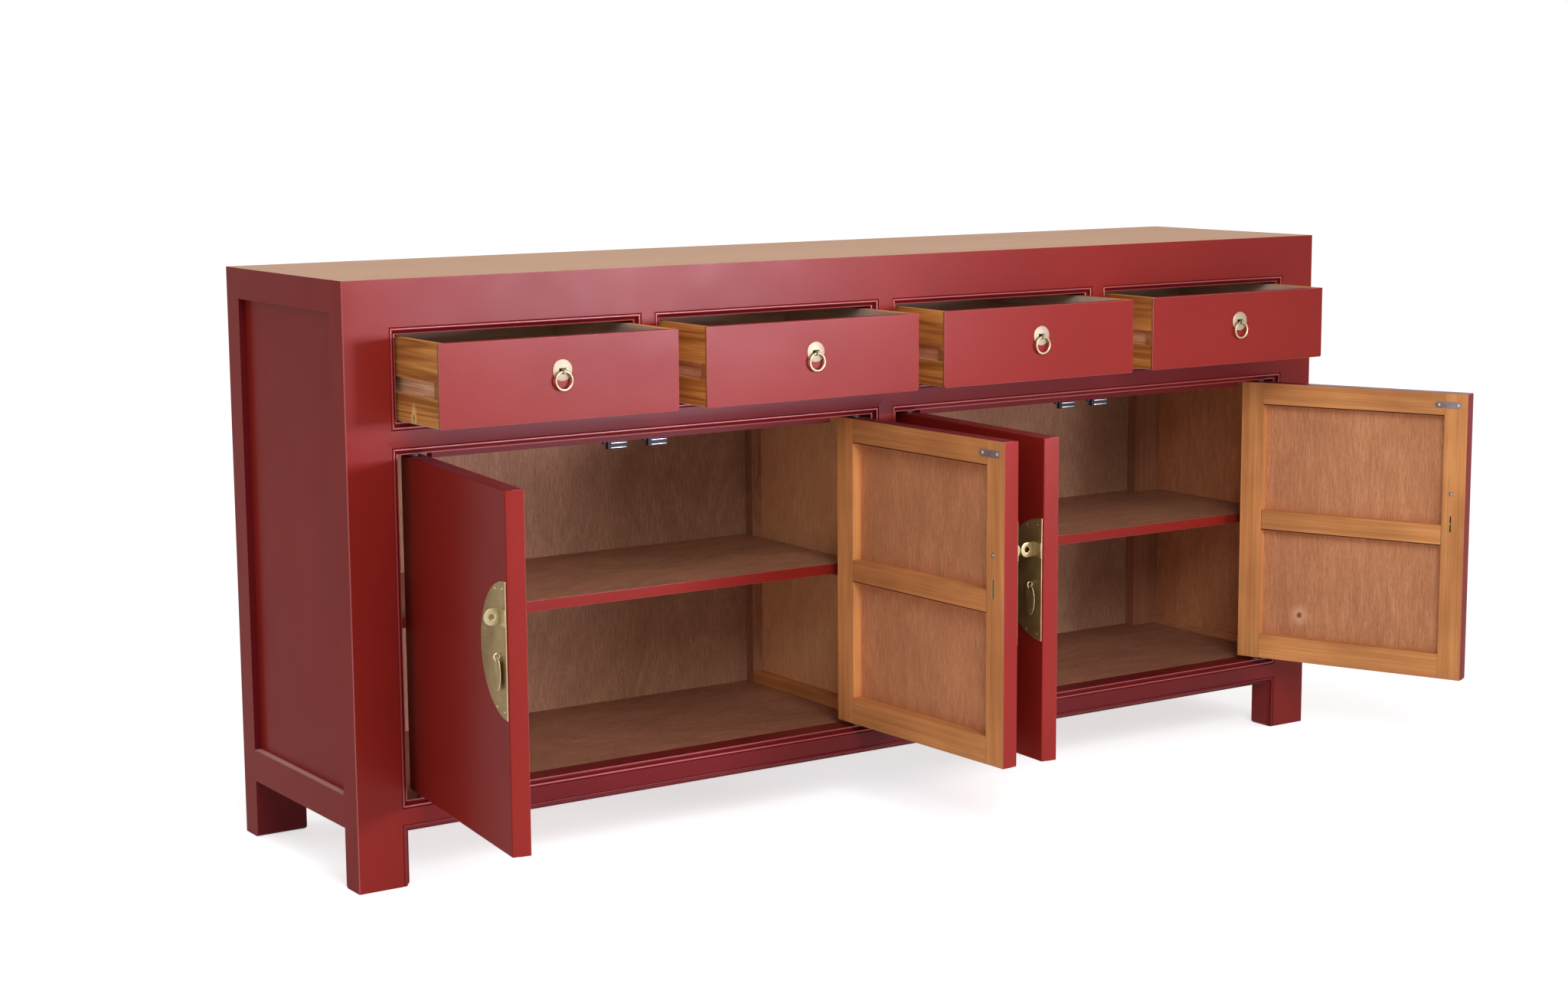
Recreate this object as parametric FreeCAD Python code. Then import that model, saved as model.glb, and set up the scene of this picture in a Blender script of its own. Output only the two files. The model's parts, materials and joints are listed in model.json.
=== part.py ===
import FreeCAD
import Part
import math
import os

# Sideboard: a frame-and-panel cabinet on four legs, with four drawers over two bays that
# each close with a pair of pivoted doors.
# Millimetres. X runs to the right as seen from the front, Y to the back and Z up. The
# origin is on the floor, under the middle of the cabinet.
# The drawers stand partly drawn and the doors open, which is the rest pose of every joint.

Vector = FreeCAD.Vector

# Overall size
cabinet_width = 1800.0
cabinet_depth = 400.0
cabinet_height = 850.0

# Front frame and legs
leg_width = 79.0
frame_depth = 42.5
foot_height = 78.0
foot_round = 5.5
bottom_rail_height = 44.0
mid_rail_height = 45.0
top_rail_height = 76.5
drawer_opening_height = 120.5
centre_stile_width = 47.0
divider_width = 43.5
shoulder_depth = 12.0

# Moulding run round every opening of the front frame, from the opening outwards
lip_width = 1.5
lip_depth = 6.0
cove_width = 3.75
cove_hollow = 1.0
bead_width = 4.8
bead_sink = 0.2
groove_width = 1.4
groove_depth = 1.2

# Sides
side_rail_thickness = 30.0
side_top_rail_height = 45.0
side_bottom_rail_height = 48.0
side_bottom_rail_rise = 8.0
side_panel_recess = 10.0
side_panel_thickness = 12.0

# Back, top and floor
back_rail_thickness = 21.0
back_top_rail_height = 45.0
back_panel_thickness = 6.0
top_panel_thickness = 12.0
floor_thickness = 15.0

# Partition between the two bays
partition_thickness = 26.0
partition_stile_width = 20.0
partition_rail_height = 18.0
partition_board_height = 198.0
partition_panel_thickness = 6.0
partition_panel_recess = 18.0

# Shelves
shelf_rise = 249.0
shelf_thickness = 16.0
shelf_setback = 15.5
bearer_size = 12.0

# Drawers
drawer_side_gap = 2.2
drawer_bottom_gap = 2.0
drawer_top_gap = 3.5
drawer_length = 350.0
drawer_front_thickness = 15.0
drawer_front_corner = 3.0
drawer_side_thickness = 12.0
drawer_back_thickness = 12.0
drawer_bottom_thickness = 5.0
drawer_bottom_rise = 6.0
drawer_lap_cover = 3.5
drawer_groove_base = 40.0
drawer_groove_height = 22.0
drawer_groove_depth = 7.0
drawer_travel = 250.0
drawer_pulled_out = [122.5, 119.5, 115.0, 107.5]

# Drawer guides and runners
guide_thickness = 12.0
guide_height = 66.0
divider_board_thickness = 20.0
runner_length = 300.0
runner_clearance = 0.3

# Ring pulls of the drawers
pull_rise = 11.5
pull_plate_radius = 15.0
pull_plate_thickness = 1.2
pull_eye_radius = 3.2
pull_eye_wire = 1.0
pull_eye_reach = 3.6
pull_eye_drop = 1.5
ring_radius = 12.75
ring_wire = 1.75

# Doors
door_side_gap = 2.35
door_meeting_gap = 2.9
door_bottom_gap = 7.0
door_top_gap = 3.3
door_thickness = 26.3
door_skin_thickness = 10.5
door_edge_round = 3.0
door_stile_width = 39.0
door_top_rail_height = 38.0
door_mid_rail_height = 34.0
door_mid_rail_rise = 223.0
door_bottom_rail_height = 41.0
door_open_degrees = [96.6, 92.1, 93.0, 113.0]
door_limit_degrees = 135.0

# Door pivots
pivot_from_edge = 24.7
pivot_from_front = 11.0
pin_radius = 3.0
pin_reach = 11.5
pin_clearance = 0.05
pin_end_clearance = 0.5
collar_radius = 7.0
collar_clearance = 0.3

# Lock plates on the doors
lock_radius = 90.0
lock_thickness = 1.5
lock_from_edge = 2.0
lock_rise = 269.0
nail_radius = 2.5
nail_from_edge = 12.5
nail_spread = 81.0

# Ears that take a bar lock
strap_length = 21.0
strap_height = 22.0
strap_thickness = 1.2
ear_reach = 23.3
ear_rise = 43.0
ear_hole_radius = 4.0
nut_radius = 3.5
nut_thickness = 2.0
nut_drop = 2.0

# Leaf pulls of the doors
leaf_eye_radius = 4.0
leaf_eye_wire = 1.1
leaf_eye_reach = 4.4
leaf_eye_from_edge = 24.0
leaf_eye_drop = 9.0
leaf_width = 24.0
leaf_height = 45.0
leaf_thickness = 1.5
leaf_hole_radius = 2.6
leaf_hole_from_top = 5.4
leaf_clearance = 0.4
split_leg_length = 28.0
split_leg_width = 2.4
split_leg_thickness = 1.0

# Door stops and catches
stop_inset = 62.0
stop_height = 10.5
stop_clearance = 0.5
catch_width = 39.0
catch_height = 16.0
pole_length = 22.0
pole_height = 2.0
pole_proud = 0.6
pole_from_side = 4.0
pole_from_top = 2.5
pole_spacing = 7.5
strike_width = 45.0
strike_height = 10.0
strike_thickness = 1.0
strike_from_edge = 10.0
strike_from_top = 14.3
strike_clearance = 0.3

# One overrun for every cut that has to pass a face
overrun = 2.0

# Planes of the carcass
outer_x = cabinet_width / 2
leg_inner_x = outer_x - leg_width
front_y = -cabinet_depth / 2
frame_back_y = front_y + frame_depth
back_y = cabinet_depth / 2
back_leg_y = back_y - frame_depth
back_rail_y = back_y - back_rail_thickness
floor_z = foot_height + bottom_rail_height
drawer_top_z = cabinet_height - top_rail_height
drawer_base_z = drawer_top_z - drawer_opening_height
door_top_z = drawer_base_z - mid_rail_height
rail_inner_x = outer_x - side_rail_thickness
side_panel_x = outer_x - side_panel_recess - side_panel_thickness
side_rail_base_z = foot_height + side_bottom_rail_rise
top_panel_z = cabinet_height - top_panel_thickness
moulding_width = lip_width + cove_width + bead_width + groove_width / 2

# Openings of the front frame as (left, right, base, top)
stile_x = centre_stile_width / 2
bay_width = leg_inner_x - stile_x
opening_width = (bay_width - divider_width) / 2
divider_x = stile_x + opening_width + divider_width / 2
drawer_openings = [
    (left, left + opening_width, drawer_base_z, drawer_top_z)
    for left in (-leg_inner_x, -stile_x - opening_width, stile_x, leg_inner_x - opening_width)
]
door_openings = [
    (-leg_inner_x, -stile_x, floor_z, door_top_z),
    (stile_x, leg_inner_x, floor_z, door_top_z),
]
foot_opening = (-leg_inner_x, leg_inner_x, -moulding_width - overrun, foot_height)

# Doors and pivots
door_width = (bay_width - 2 * door_side_gap - door_meeting_gap) / 2
door_base_z = floor_z + door_bottom_gap
door_height = door_top_z - door_top_gap - door_base_z
pivot_y = front_y + pivot_from_front
pivot_inset = door_side_gap + pivot_from_edge
outer_pivot_x = leg_inner_x - pivot_inset
inner_pivot_x = stile_x + pivot_inset
pivot_x = [-outer_pivot_x, -inner_pivot_x, inner_pivot_x, outer_pivot_x]
door_hand = [1, -1, 1, -1]


def box(x0, x1, y0, y1, z0, z1):
    """A square block between two corners."""
    return Part.makeBox(x1 - x0, y1 - y0, z1 - z0, Vector(x0, y0, z0))


def plate(outline, y0, y1):
    """A plate whose outline lies in XZ, from y0 back to y1."""
    points = [Vector(x, y0, z) for x, z in outline]
    face = Part.Face(Part.makePolygon(points + points[:1]))
    return face.extrude(Vector(0, y1 - y0, 0))


def board(outline, z0, z1):
    """A level board whose outline lies in XY, from z0 up to z1."""
    points = [Vector(x, y, z0) for x, y in outline]
    face = Part.Face(Part.makePolygon(points + points[:1]))
    return face.extrude(Vector(0, 0, z1 - z0))


def rod(centre, direction, radius, length):
    """A round rod that starts at a point and runs along a direction."""
    return Part.makeCylinder(radius, length, centre, direction)


def mirrored(shape):
    """The same piece on the other side of the cabinet."""
    return shape.mirror(Vector(0, 0, 0), Vector(1, 0, 0))


def both_sides(shapes):
    """Pieces of the left side with their twins on the right."""
    return shapes + [mirrored(shape) for shape in shapes]


def edges_where(shape, test):
    """The edges of a shape whose bounding box passes a test."""
    return [edge for edge in shape.Edges if test(edge.BoundBox)]


def save(name, shapes):
    """Write one node as a STEP file, one or several solids."""
    shape = shapes[0] if len(shapes) == 1 else Part.makeCompound(shapes)
    if not shape.isValid():
        raise ValueError(name + " is not a valid shape")
    shape.exportStep(os.path.join("parts", name + ".step"))


# Mouldings

def moulding_face(corner, outwards, depthwise):
    """Section of the wood that the moulding takes away beside an opening."""
    def at(distance, depth):
        return corner + outwards * distance + depthwise * depth

    groove_middle = moulding_width - groove_width / 2
    bead_inner = groove_middle - bead_width
    cove_middle = (lip_width + bead_inner) / 2
    cove_middle_depth = (lip_depth + groove_depth) / 2
    cove_slope = math.hypot(cove_width, lip_depth - groove_depth)
    hollow_out = cove_hollow * (lip_depth - groove_depth) / cove_slope
    hollow_in = cove_hollow * cove_width / cove_slope
    edges = [
        Part.makeLine(at(-overrun, -overrun), at(moulding_width, -overrun)),
        Part.makeLine(at(moulding_width, -overrun), at(moulding_width, 0)),
        Part.makeLine(at(moulding_width, 0), at(groove_middle, groove_depth)),
        Part.Arc(
            at(groove_middle, groove_depth),
            at((groove_middle + bead_inner) / 2, bead_sink),
            at(bead_inner, groove_depth),
        ).toShape(),
        Part.Arc(
            at(bead_inner, groove_depth),
            at(cove_middle + hollow_out, cove_middle_depth + hollow_in),
            at(lip_width, lip_depth),
        ).toShape(),
        Part.makeLine(at(lip_width, lip_depth), at(-overrun, lip_depth)),
        Part.makeLine(at(-overrun, lip_depth), at(-overrun, -overrun)),
    ]
    return Part.Face(Part.Wire(edges))


def moulding_side(start, end, outwards):
    """Cutter for one side of an opening, mitred at both ends."""
    along = (end - start).normalize()
    depthwise = Vector(0, 1, 0)
    reach = moulding_width + overrun
    first = start - along * reach
    run = moulding_face(first, outwards, depthwise).extrude(end - start + along * (2 * reach))
    mitre = [
        start + (along - outwards) * overrun,
        end - (along + outwards) * overrun,
        end + (along + outwards) * reach,
        start - (along - outwards) * reach,
    ]
    outline = [(point.x, point.z) for point in mitre]
    return run.common(plate(outline, front_y - reach, front_y + lip_depth + reach))


def moulding_cutters(opening):
    """The four mitred cutters of one opening."""
    left, right, base, top = opening
    corners = [
        Vector(left, front_y, base),
        Vector(right, front_y, base),
        Vector(right, front_y, top),
        Vector(left, front_y, top),
    ]
    outwards = [Vector(0, 0, -1), Vector(1, 0, 0), Vector(0, 0, 1), Vector(-1, 0, 0)]
    return [
        moulding_side(corners[side], corners[(side + 1) % len(corners)], outwards[side])
        for side in range(len(corners))
    ]


def moulded(member, cutters):
    """A front member with every moulding that touches it cut in."""
    near = [cutter for cutter in cutters if cutter.BoundBox.intersect(member.BoundBox)]
    return member.cut(near).removeSplitter().Solids[0]


# Front frame

def rail_shoulders(left, right, base, top):
    """Pointed front shoulders at both ends of a rail."""
    half = (top - base) / 2
    outline = [
        (left, base), (right, base), (right + half, base + half),
        (right, top), (left, top), (left - half, base + half),
    ]
    return plate(outline, front_y, front_y + shoulder_depth)


def stile_shoulders(left, right, base, top):
    """Pointed front shoulders at both ends of an upright."""
    half = (right - left) / 2
    outline = [
        (left, base), (left + half, base - half), (right, base),
        (right, top), (left + half, top + half), (left, top),
    ]
    return plate(outline, front_y, front_y + shoulder_depth)


def pivot_bores(base_z, upwards):
    """Cutters for the pin holes of all four doors in one rail."""
    depth = pin_reach + pin_end_clearance
    start_z = base_z if upwards else base_z - depth
    start_z = start_z - overrun if upwards else start_z
    return [
        rod(Vector(x, pivot_y, start_z), Vector(0, 0, 1), pin_radius + pin_clearance, depth + overrun)
        for x in pivot_x
    ]


def front_frame():
    """Legs, rails, centre stile and drawer dividers of the front."""
    cutters = []
    for opening in drawer_openings + door_openings + [foot_opening]:
        cutters += moulding_cutters(opening)

    def upright(left, right, base, top):
        body = box(left, right, front_y, frame_back_y, base, top)
        return body.fuse(stile_shoulders(left, right, base, top)).removeSplitter()

    def rail(left, right, base, top):
        body = box(left, right, front_y, frame_back_y, base, top)
        return body.fuse(rail_shoulders(left, right, base, top)).removeSplitter()

    mid_rails = [rail(left, right, door_top_z, drawer_base_z) for left, right, base, top in door_openings]
    bottom_rail = rail(-leg_inner_x, leg_inner_x, foot_height, floor_z)
    stile = upright(-stile_x, stile_x, floor_z, drawer_top_z)
    dividers = [
        upright(middle - divider_width / 2, middle + divider_width / 2, drawer_base_z, drawer_top_z)
        for middle in (-divider_x, divider_x)
    ]
    top_outline = [
        (-leg_inner_x, drawer_top_z), (leg_inner_x, drawer_top_z),
        (outer_x, cabinet_height), (-outer_x, cabinet_height),
    ]
    top_rail = plate(top_outline, front_y, frame_back_y).cut([stile] + dividers)
    bottom_rail = bottom_rail.cut(stile)
    leg_outline = [
        (-outer_x, 0), (-leg_inner_x, 0), (-leg_inner_x, drawer_top_z), (-outer_x, cabinet_height),
    ]
    leg = rounded_foot(plate(leg_outline, front_y, frame_back_y), -leg_inner_x, frame_back_y)
    leg = leg.cut([bottom_rail, mid_rails[0]])
    stile = stile.cut(mid_rails)
    mid_rails = [mid_rail.cut(dividers) for mid_rail in mid_rails]

    save("leg_front_left", [moulded(leg, cutters)])
    save("leg_front_right", [mirrored(moulded(leg, cutters))])
    save("top_rail_front", [moulded(top_rail, cutters)])
    save("centre_stile", [moulded(stile, cutters)])
    save("drawer_dividers", [moulded(divider, cutters) for divider in dividers])
    upper_bores = pivot_bores(door_top_z, True)
    save("mid_rail_front", [moulded(mid_rail, cutters).cut(upper_bores).Solids[0] for mid_rail in mid_rails])
    lower_bores = pivot_bores(floor_z, False)
    save("bottom_rail_front", [moulded(bottom_rail, cutters).cut(lower_bores).Solids[0]])


def rounded_foot(leg, inner_x, hidden_y):
    """A leg with the inner and hidden edges of its foot rounded."""
    def lower_edge(span):
        level = span.ZMax < foot_round / 2
        inner = span.XMin > inner_x - foot_round
        hidden = abs(span.YMin - hidden_y) < foot_round and abs(span.YMax - hidden_y) < foot_round
        return level and (inner or hidden)

    return leg.makeFillet(foot_round, edges_where(leg, lower_edge))


# Carcass behind the front frame

def sides():
    """Rails and panels of both sides, with the back legs."""
    back_leg = box(-outer_x, -leg_inner_x, back_leg_y, back_y, 0, cabinet_height)
    back_leg = rounded_foot(back_leg, -leg_inner_x, back_leg_y)
    save("leg_back_left", [back_leg])
    save("leg_back_right", [mirrored(back_leg)])
    bottom_rail_top = side_rail_base_z + side_bottom_rail_height
    top_rail_base = cabinet_height - side_top_rail_height
    rails = [
        box(-outer_x, -rail_inner_x, frame_back_y, back_leg_y, side_rail_base_z, bottom_rail_top),
        box(-outer_x, -rail_inner_x, frame_back_y, back_leg_y, top_rail_base, cabinet_height),
    ]
    save("side_rails", both_sides(rails))
    panel_face = -side_panel_x - side_panel_thickness
    panel = box(panel_face, -side_panel_x, frame_back_y, back_leg_y, bottom_rail_top, top_rail_base)
    save("side_panel_left", [panel])
    save("side_panel_right", [mirrored(panel)])


def notched_outline(half_width, front, back):
    """Outline of a board that is notched round both back legs."""
    return [
        (-half_width, front), (half_width, front), (half_width, back_leg_y), (leg_inner_x, back_leg_y),
        (leg_inner_x, back), (-leg_inner_x, back), (-leg_inner_x, back_leg_y), (-half_width, back_leg_y),
    ]


def back_top_floor():
    """Back rails and panel, top panel and floor board."""
    top_rail_base = cabinet_height - back_top_rail_height
    rails = [
        box(-leg_inner_x, leg_inner_x, back_rail_y, back_y, foot_height, floor_z),
        box(-leg_inner_x, leg_inner_x, back_rail_y, back_y, top_rail_base, cabinet_height),
    ]
    save("back_rails", rails)
    panel_back = back_rail_y + back_panel_thickness
    save("back_panel", [box(-leg_inner_x, leg_inner_x, back_rail_y, panel_back, floor_z, top_rail_base)])
    outline = notched_outline(rail_inner_x, frame_back_y, back_rail_y)
    save("top_panel", [board(outline, top_panel_z, cabinet_height)])
    save("floor_board", [board(outline, floor_z - floor_thickness, floor_z)])


def partition():
    """Framed partition between the bays, with a solid board at drawer height."""
    half = partition_thickness / 2
    board_z = top_panel_z - partition_board_height
    front_edge = frame_back_y + partition_stile_width
    back_edge = back_rail_y - partition_stile_width
    rail_top = floor_z + partition_rail_height
    panel_left = -half + partition_panel_recess
    save("partition", [
        box(-half, half, frame_back_y, front_edge, floor_z, board_z),
        box(-half, half, back_edge, back_rail_y, floor_z, board_z),
        box(-half, half, front_edge, back_edge, floor_z, rail_top),
        box(-half, half, frame_back_y, back_rail_y, board_z, top_panel_z),
        box(panel_left, panel_left + partition_panel_thickness, front_edge, back_edge, rail_top, board_z),
    ])


def shelves():
    """One shelf in each bay, on battens at both ends."""
    half = partition_thickness / 2
    shelf_top = floor_z + shelf_rise
    shelf_base = shelf_top - shelf_thickness
    shelf_front = frame_back_y + shelf_setback
    outline = [
        (-side_panel_x, shelf_front), (-half, shelf_front), (-half, back_rail_y),
        (-leg_inner_x, back_rail_y), (-leg_inner_x, back_leg_y), (-side_panel_x, back_leg_y),
    ]
    save("shelves", both_sides([board(outline, shelf_base, shelf_top)]))
    bearer_base = shelf_base - bearer_size
    save("shelf_bearers", both_sides([
        box(-side_panel_x, bearer_size - side_panel_x, frame_back_y, back_leg_y, bearer_base, shelf_base),
        box(-half - bearer_size, -half, frame_back_y, back_rail_y, bearer_base, shelf_base),
    ]))


# Drawer guides

def guide_faces():
    """Faces of the boards that carry the runners, as (left, right) of each drawer."""
    setback = (divider_width - divider_board_thickness) / 2
    half = partition_thickness / 2
    outer = leg_inner_x + setback
    inner_right = -divider_x + divider_board_thickness / 2
    return [
        (-outer, inner_right - divider_board_thickness),
        (inner_right, -half),
        (half, -inner_right),
        (divider_board_thickness - inner_right, outer),
    ]


def guides_and_runners():
    """Boards beside the drawers and the battens that the drawers slide on."""
    faces = guide_faces()
    groove_z = drawer_base_z + drawer_bottom_gap + drawer_groove_base
    guide_z = groove_z + drawer_groove_height / 2 - guide_height / 2
    guide_top = guide_z + guide_height
    outer_face = faces[0][0]
    save("drawer_guides", both_sides([
        box(outer_face - guide_thickness, outer_face, frame_back_y, back_leg_y, guide_z, guide_top),
        box(faces[0][1], faces[1][0], frame_back_y, back_rail_y, drawer_base_z, top_panel_z),
    ]))
    bury = drawer_side_gap + drawer_groove_depth - runner_clearance
    base = groove_z + runner_clearance
    top = groove_z + drawer_groove_height - runner_clearance
    runner_back = frame_back_y + runner_length
    runners = []
    for (left_face, right_face), (left, right, opening_base, opening_top) in zip(faces, drawer_openings):
        runners.append(box(left_face, left + bury, frame_back_y, runner_back, base, top))
        runners.append(box(right - bury, right_face, frame_back_y, runner_back, base, top))
    save("drawer_runners", runners)


# Door stops and catches

def strike_middle():
    """Distance from a door's free edge to the middle of its strike plate."""
    return strike_from_edge + strike_width / 2


def stops_and_catches():
    """Stop strips under the middle rail, and two magnetic catches under each."""
    stop_y = front_y + door_thickness + stop_clearance
    stop_z = door_top_z - stop_height
    pole_y = front_y + door_thickness + strike_thickness + strike_clearance
    catch_y = pole_y + pole_proud
    stops = []
    bodies = []
    poles = []
    for left, right, base, top in door_openings:
        stops.append(box(left + stop_inset, right - stop_inset, stop_y, frame_back_y, stop_z, door_top_z))
        middle = (left + right) / 2
        offset = door_meeting_gap / 2 + strike_middle()
        for catch_x in (middle - offset, middle + offset):
            catch_left = catch_x - catch_width / 2
            catch_right = catch_x + catch_width / 2
            catch_base = stop_z - catch_height
            bodies.append(box(catch_left, catch_right, catch_y, frame_back_y, catch_base, stop_z))
            pole_right = catch_right - pole_from_side
            for drop in (pole_from_top, pole_from_top + pole_spacing):
                pole_z = stop_z - drop - pole_height / 2
                pole_left = pole_right - pole_length
                poles.append(box(pole_left, pole_right, pole_y, catch_y, pole_z, pole_z + pole_height))
    save("door_stops", stops)
    save("catch_bodies", bodies)
    save("catch_poles", poles)


# Drawers

def drawer_front(left, right, base, top, front, groove_base, groove_top):
    """Drawer front, rebated at the back where the sides lap into it."""
    back = front + drawer_front_thickness
    panel = box(left, right, front, back, base, top)

    def lower_corner(span):
        return span.YLength > drawer_front_thickness / 2 and span.ZMax < base + drawer_front_corner

    panel = panel.makeFillet(drawer_front_corner, edges_where(panel, lower_corner))
    lap_y = front + drawer_lap_cover
    left_lap = (left - overrun, left + drawer_side_thickness)
    right_lap = (right - drawer_side_thickness, right + overrun)
    rebates = []
    for x0, x1 in (left_lap, right_lap):
        rebates.append(box(x0, x1, lap_y, back + overrun, base - overrun, groove_base))
        rebates.append(box(x0, x1, lap_y, back + overrun, groove_top, top + overrun))
    return panel.cut(rebates).Solids[0]


def drawer_side(left, base, top, front, back, groove_base, groove_top):
    """Left drawer side: lapped into the front, with the runner groove outside."""
    inner = left + drawer_side_thickness
    front_back = front + drawer_front_thickness
    side = box(left, inner, front + drawer_lap_cover, back, base, top)

    def lower_outer(span):
        return span.YLength > drawer_front_thickness and span.XMax < inner and span.ZMax < groove_base

    side = side.makeFillet(drawer_front_corner, edges_where(side, lower_outer))
    notch = box(left - overrun, inner + overrun, front, front_back, groove_base, groove_top)
    groove_x = left + drawer_groove_depth
    groove = box(left - overrun, groove_x, front_back, back + overrun, groove_base, groove_top)
    return side.cut([notch, groove]).Solids[0]


def drawer(number, opening, pulled_out):
    """One drawer: front, box, ring pull plate and ring."""
    opening_left, opening_right, opening_base, opening_top = opening
    left = opening_left + drawer_side_gap
    right = opening_right - drawer_side_gap
    base = opening_base + drawer_bottom_gap
    top = opening_top - drawer_top_gap
    front = front_y - pulled_out
    back = front + drawer_length
    groove_base = base + drawer_groove_base
    groove_top = groove_base + drawer_groove_height
    name = "drawer_" + str(number)
    save(name + "_front", [drawer_front(left, right, base, top, front, groove_base, groove_top)])

    middle_x = (left + right) / 2
    side = drawer_side(left, base, top, front, back, groove_base, groove_top)
    other_side = side.mirror(Vector(middle_x, 0, 0), Vector(1, 0, 0))
    inner_left = left + drawer_side_thickness
    inner_right = right - drawer_side_thickness
    inner_front = front + drawer_front_thickness
    inner_back = back - drawer_back_thickness
    bottom_z = base + drawer_bottom_rise
    save(name + "_box", [
        side,
        other_side,
        box(inner_left, inner_right, inner_back, back, base, top),
        box(inner_left, inner_right, inner_front, inner_back, bottom_z, bottom_z + drawer_bottom_thickness),
    ])

    pull_z = (base + top) / 2 + pull_rise
    disc = rod(Vector(middle_x, front, pull_z), Vector(0, -1, 0), pull_plate_radius, pull_plate_thickness)
    eye_centre = Vector(middle_x, front - pull_plate_thickness - pull_eye_reach, pull_z - pull_eye_drop)
    eye = Part.makeTorus(pull_eye_radius, pull_eye_wire, eye_centre, Vector(1, 0, 0))
    in_front = box(
        eye_centre.x - pull_plate_radius, eye_centre.x + pull_plate_radius,
        front - pull_plate_radius, front, pull_z - pull_plate_radius, pull_z + pull_plate_radius,
    )
    save(name + "_pull", [disc.fuse(eye.common(in_front)).Solids[0]])
    ring_centre = eye_centre - Vector(0, 0, ring_radius)
    save(name + "_ring", [Part.makeTorus(ring_radius, ring_wire, ring_centre, Vector(0, 1, 0))])


# Doors, built closed and hinged on the left, with the pivot axis at X 0 and Y 0

def place_door(shapes, number):
    """Turn finished door pieces to their hand, their angle and their place."""
    hand = door_hand[number - 1]
    angle = -hand * door_open_degrees[number - 1]
    placed = []
    for shape in shapes:
        piece = shape.copy() if hand > 0 else mirrored(shape)
        piece.rotate(Vector(0, 0, 0), Vector(0, 0, 1), angle)
        piece.translate(Vector(pivot_x[number - 1], pivot_y, 0))
        placed.append(piece)
    return placed


hinge_edge_x = -pivot_from_edge
free_edge_x = door_width - pivot_from_edge
door_front_y = -pivot_from_front
door_back_y = door_thickness - pivot_from_front
door_top = door_base_z + door_height


def door_skin():
    """Front board of a door, rounded along its hinge edge."""
    skin_back_y = door_front_y + door_skin_thickness
    skin = box(hinge_edge_x, free_edge_x, door_front_y, skin_back_y, door_base_z, door_top)

    def hinge_front(span):
        upright = span.ZLength > door_height / 2
        near_hinge = span.XMax < hinge_edge_x + door_edge_round
        return upright and near_hinge and span.YMax < door_front_y + door_edge_round

    return [skin.makeFillet(door_edge_round, edges_where(skin, hinge_front))]


def door_frame():
    """Stiles and rails on the back of a door."""
    front = door_front_y + door_skin_thickness
    left = hinge_edge_x + door_stile_width
    right = free_edge_x - door_stile_width
    mid_base = door_base_z + door_mid_rail_rise
    return [
        box(hinge_edge_x, left, front, door_back_y, door_base_z, door_top),
        box(right, free_edge_x, front, door_back_y, door_base_z, door_top),
        box(left, right, front, door_back_y, door_base_z, door_base_z + door_bottom_rail_height),
        box(left, right, front, door_back_y, mid_base, mid_base + door_mid_rail_height),
        box(left, right, front, door_back_y, door_top - door_top_rail_height, door_top),
    ]


def lock_outline():
    """Half disc with its straight side towards the free edge."""
    x = free_edge_x - lock_from_edge
    z = door_base_z + lock_rise
    top = Vector(x, door_front_y, z + lock_radius)
    base = Vector(x, door_front_y, z - lock_radius)
    arc = Part.Arc(top, Vector(x - lock_radius, door_front_y, z), base).toShape()
    return Part.Face(Part.Wire([arc, Part.makeLine(base, top)]))


def door_ear(plate_y):
    """Bent strap whose ear stands out from the lock plate, with its hole."""
    x1 = free_edge_x - lock_from_edge
    x0 = x1 - strap_length
    z = door_base_z + lock_rise + ear_rise
    half = strap_height / 2
    strap = box(x0, x1, plate_y - strap_thickness, plate_y, z - half, z + half)
    round_y = door_front_y - ear_reach + half
    web = box(x0, x0 + strap_thickness, round_y, plate_y, z - half, z + half)
    end = rod(Vector(x0, round_y, z), Vector(1, 0, 0), half, strap_thickness)
    hole_start = Vector(x0 - overrun, round_y, z)
    hole = rod(hole_start, Vector(1, 0, 0), ear_hole_radius, strap_thickness + 2 * overrun)
    return strap.fuse([web, end]).cut(hole).removeSplitter()


def leaf_eye_centre():
    """Centre of the wire eye that carries the leaf pull."""
    plate_y = door_front_y - lock_thickness
    z = door_base_z + lock_rise - leaf_eye_drop
    return Vector(free_edge_x - leaf_eye_from_edge, plate_y - leaf_eye_reach, z)


def door_lock():
    """Lock plate in one piece with its ear, its eye and two nail heads."""
    plate_y = door_front_y - lock_thickness
    disc = lock_outline().extrude(Vector(0, -lock_thickness, 0))
    eye = Part.makeTorus(leaf_eye_radius, leaf_eye_wire, leaf_eye_centre(), Vector(1, 0, 0))
    in_front = box(hinge_edge_x, free_edge_x, door_front_y - lock_radius, door_front_y, door_base_z, door_top)
    pieces = [door_ear(plate_y), eye.common(in_front)]
    z = door_base_z + lock_rise
    for nail_z in (z - nail_spread, z + nail_spread):
        dome = Part.makeSphere(nail_radius, Vector(free_edge_x - nail_from_edge, plate_y, nail_z))
        pieces.append(dome.common(in_front))
    return [disc.fuse(pieces).removeSplitter().Solids[0]]


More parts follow.
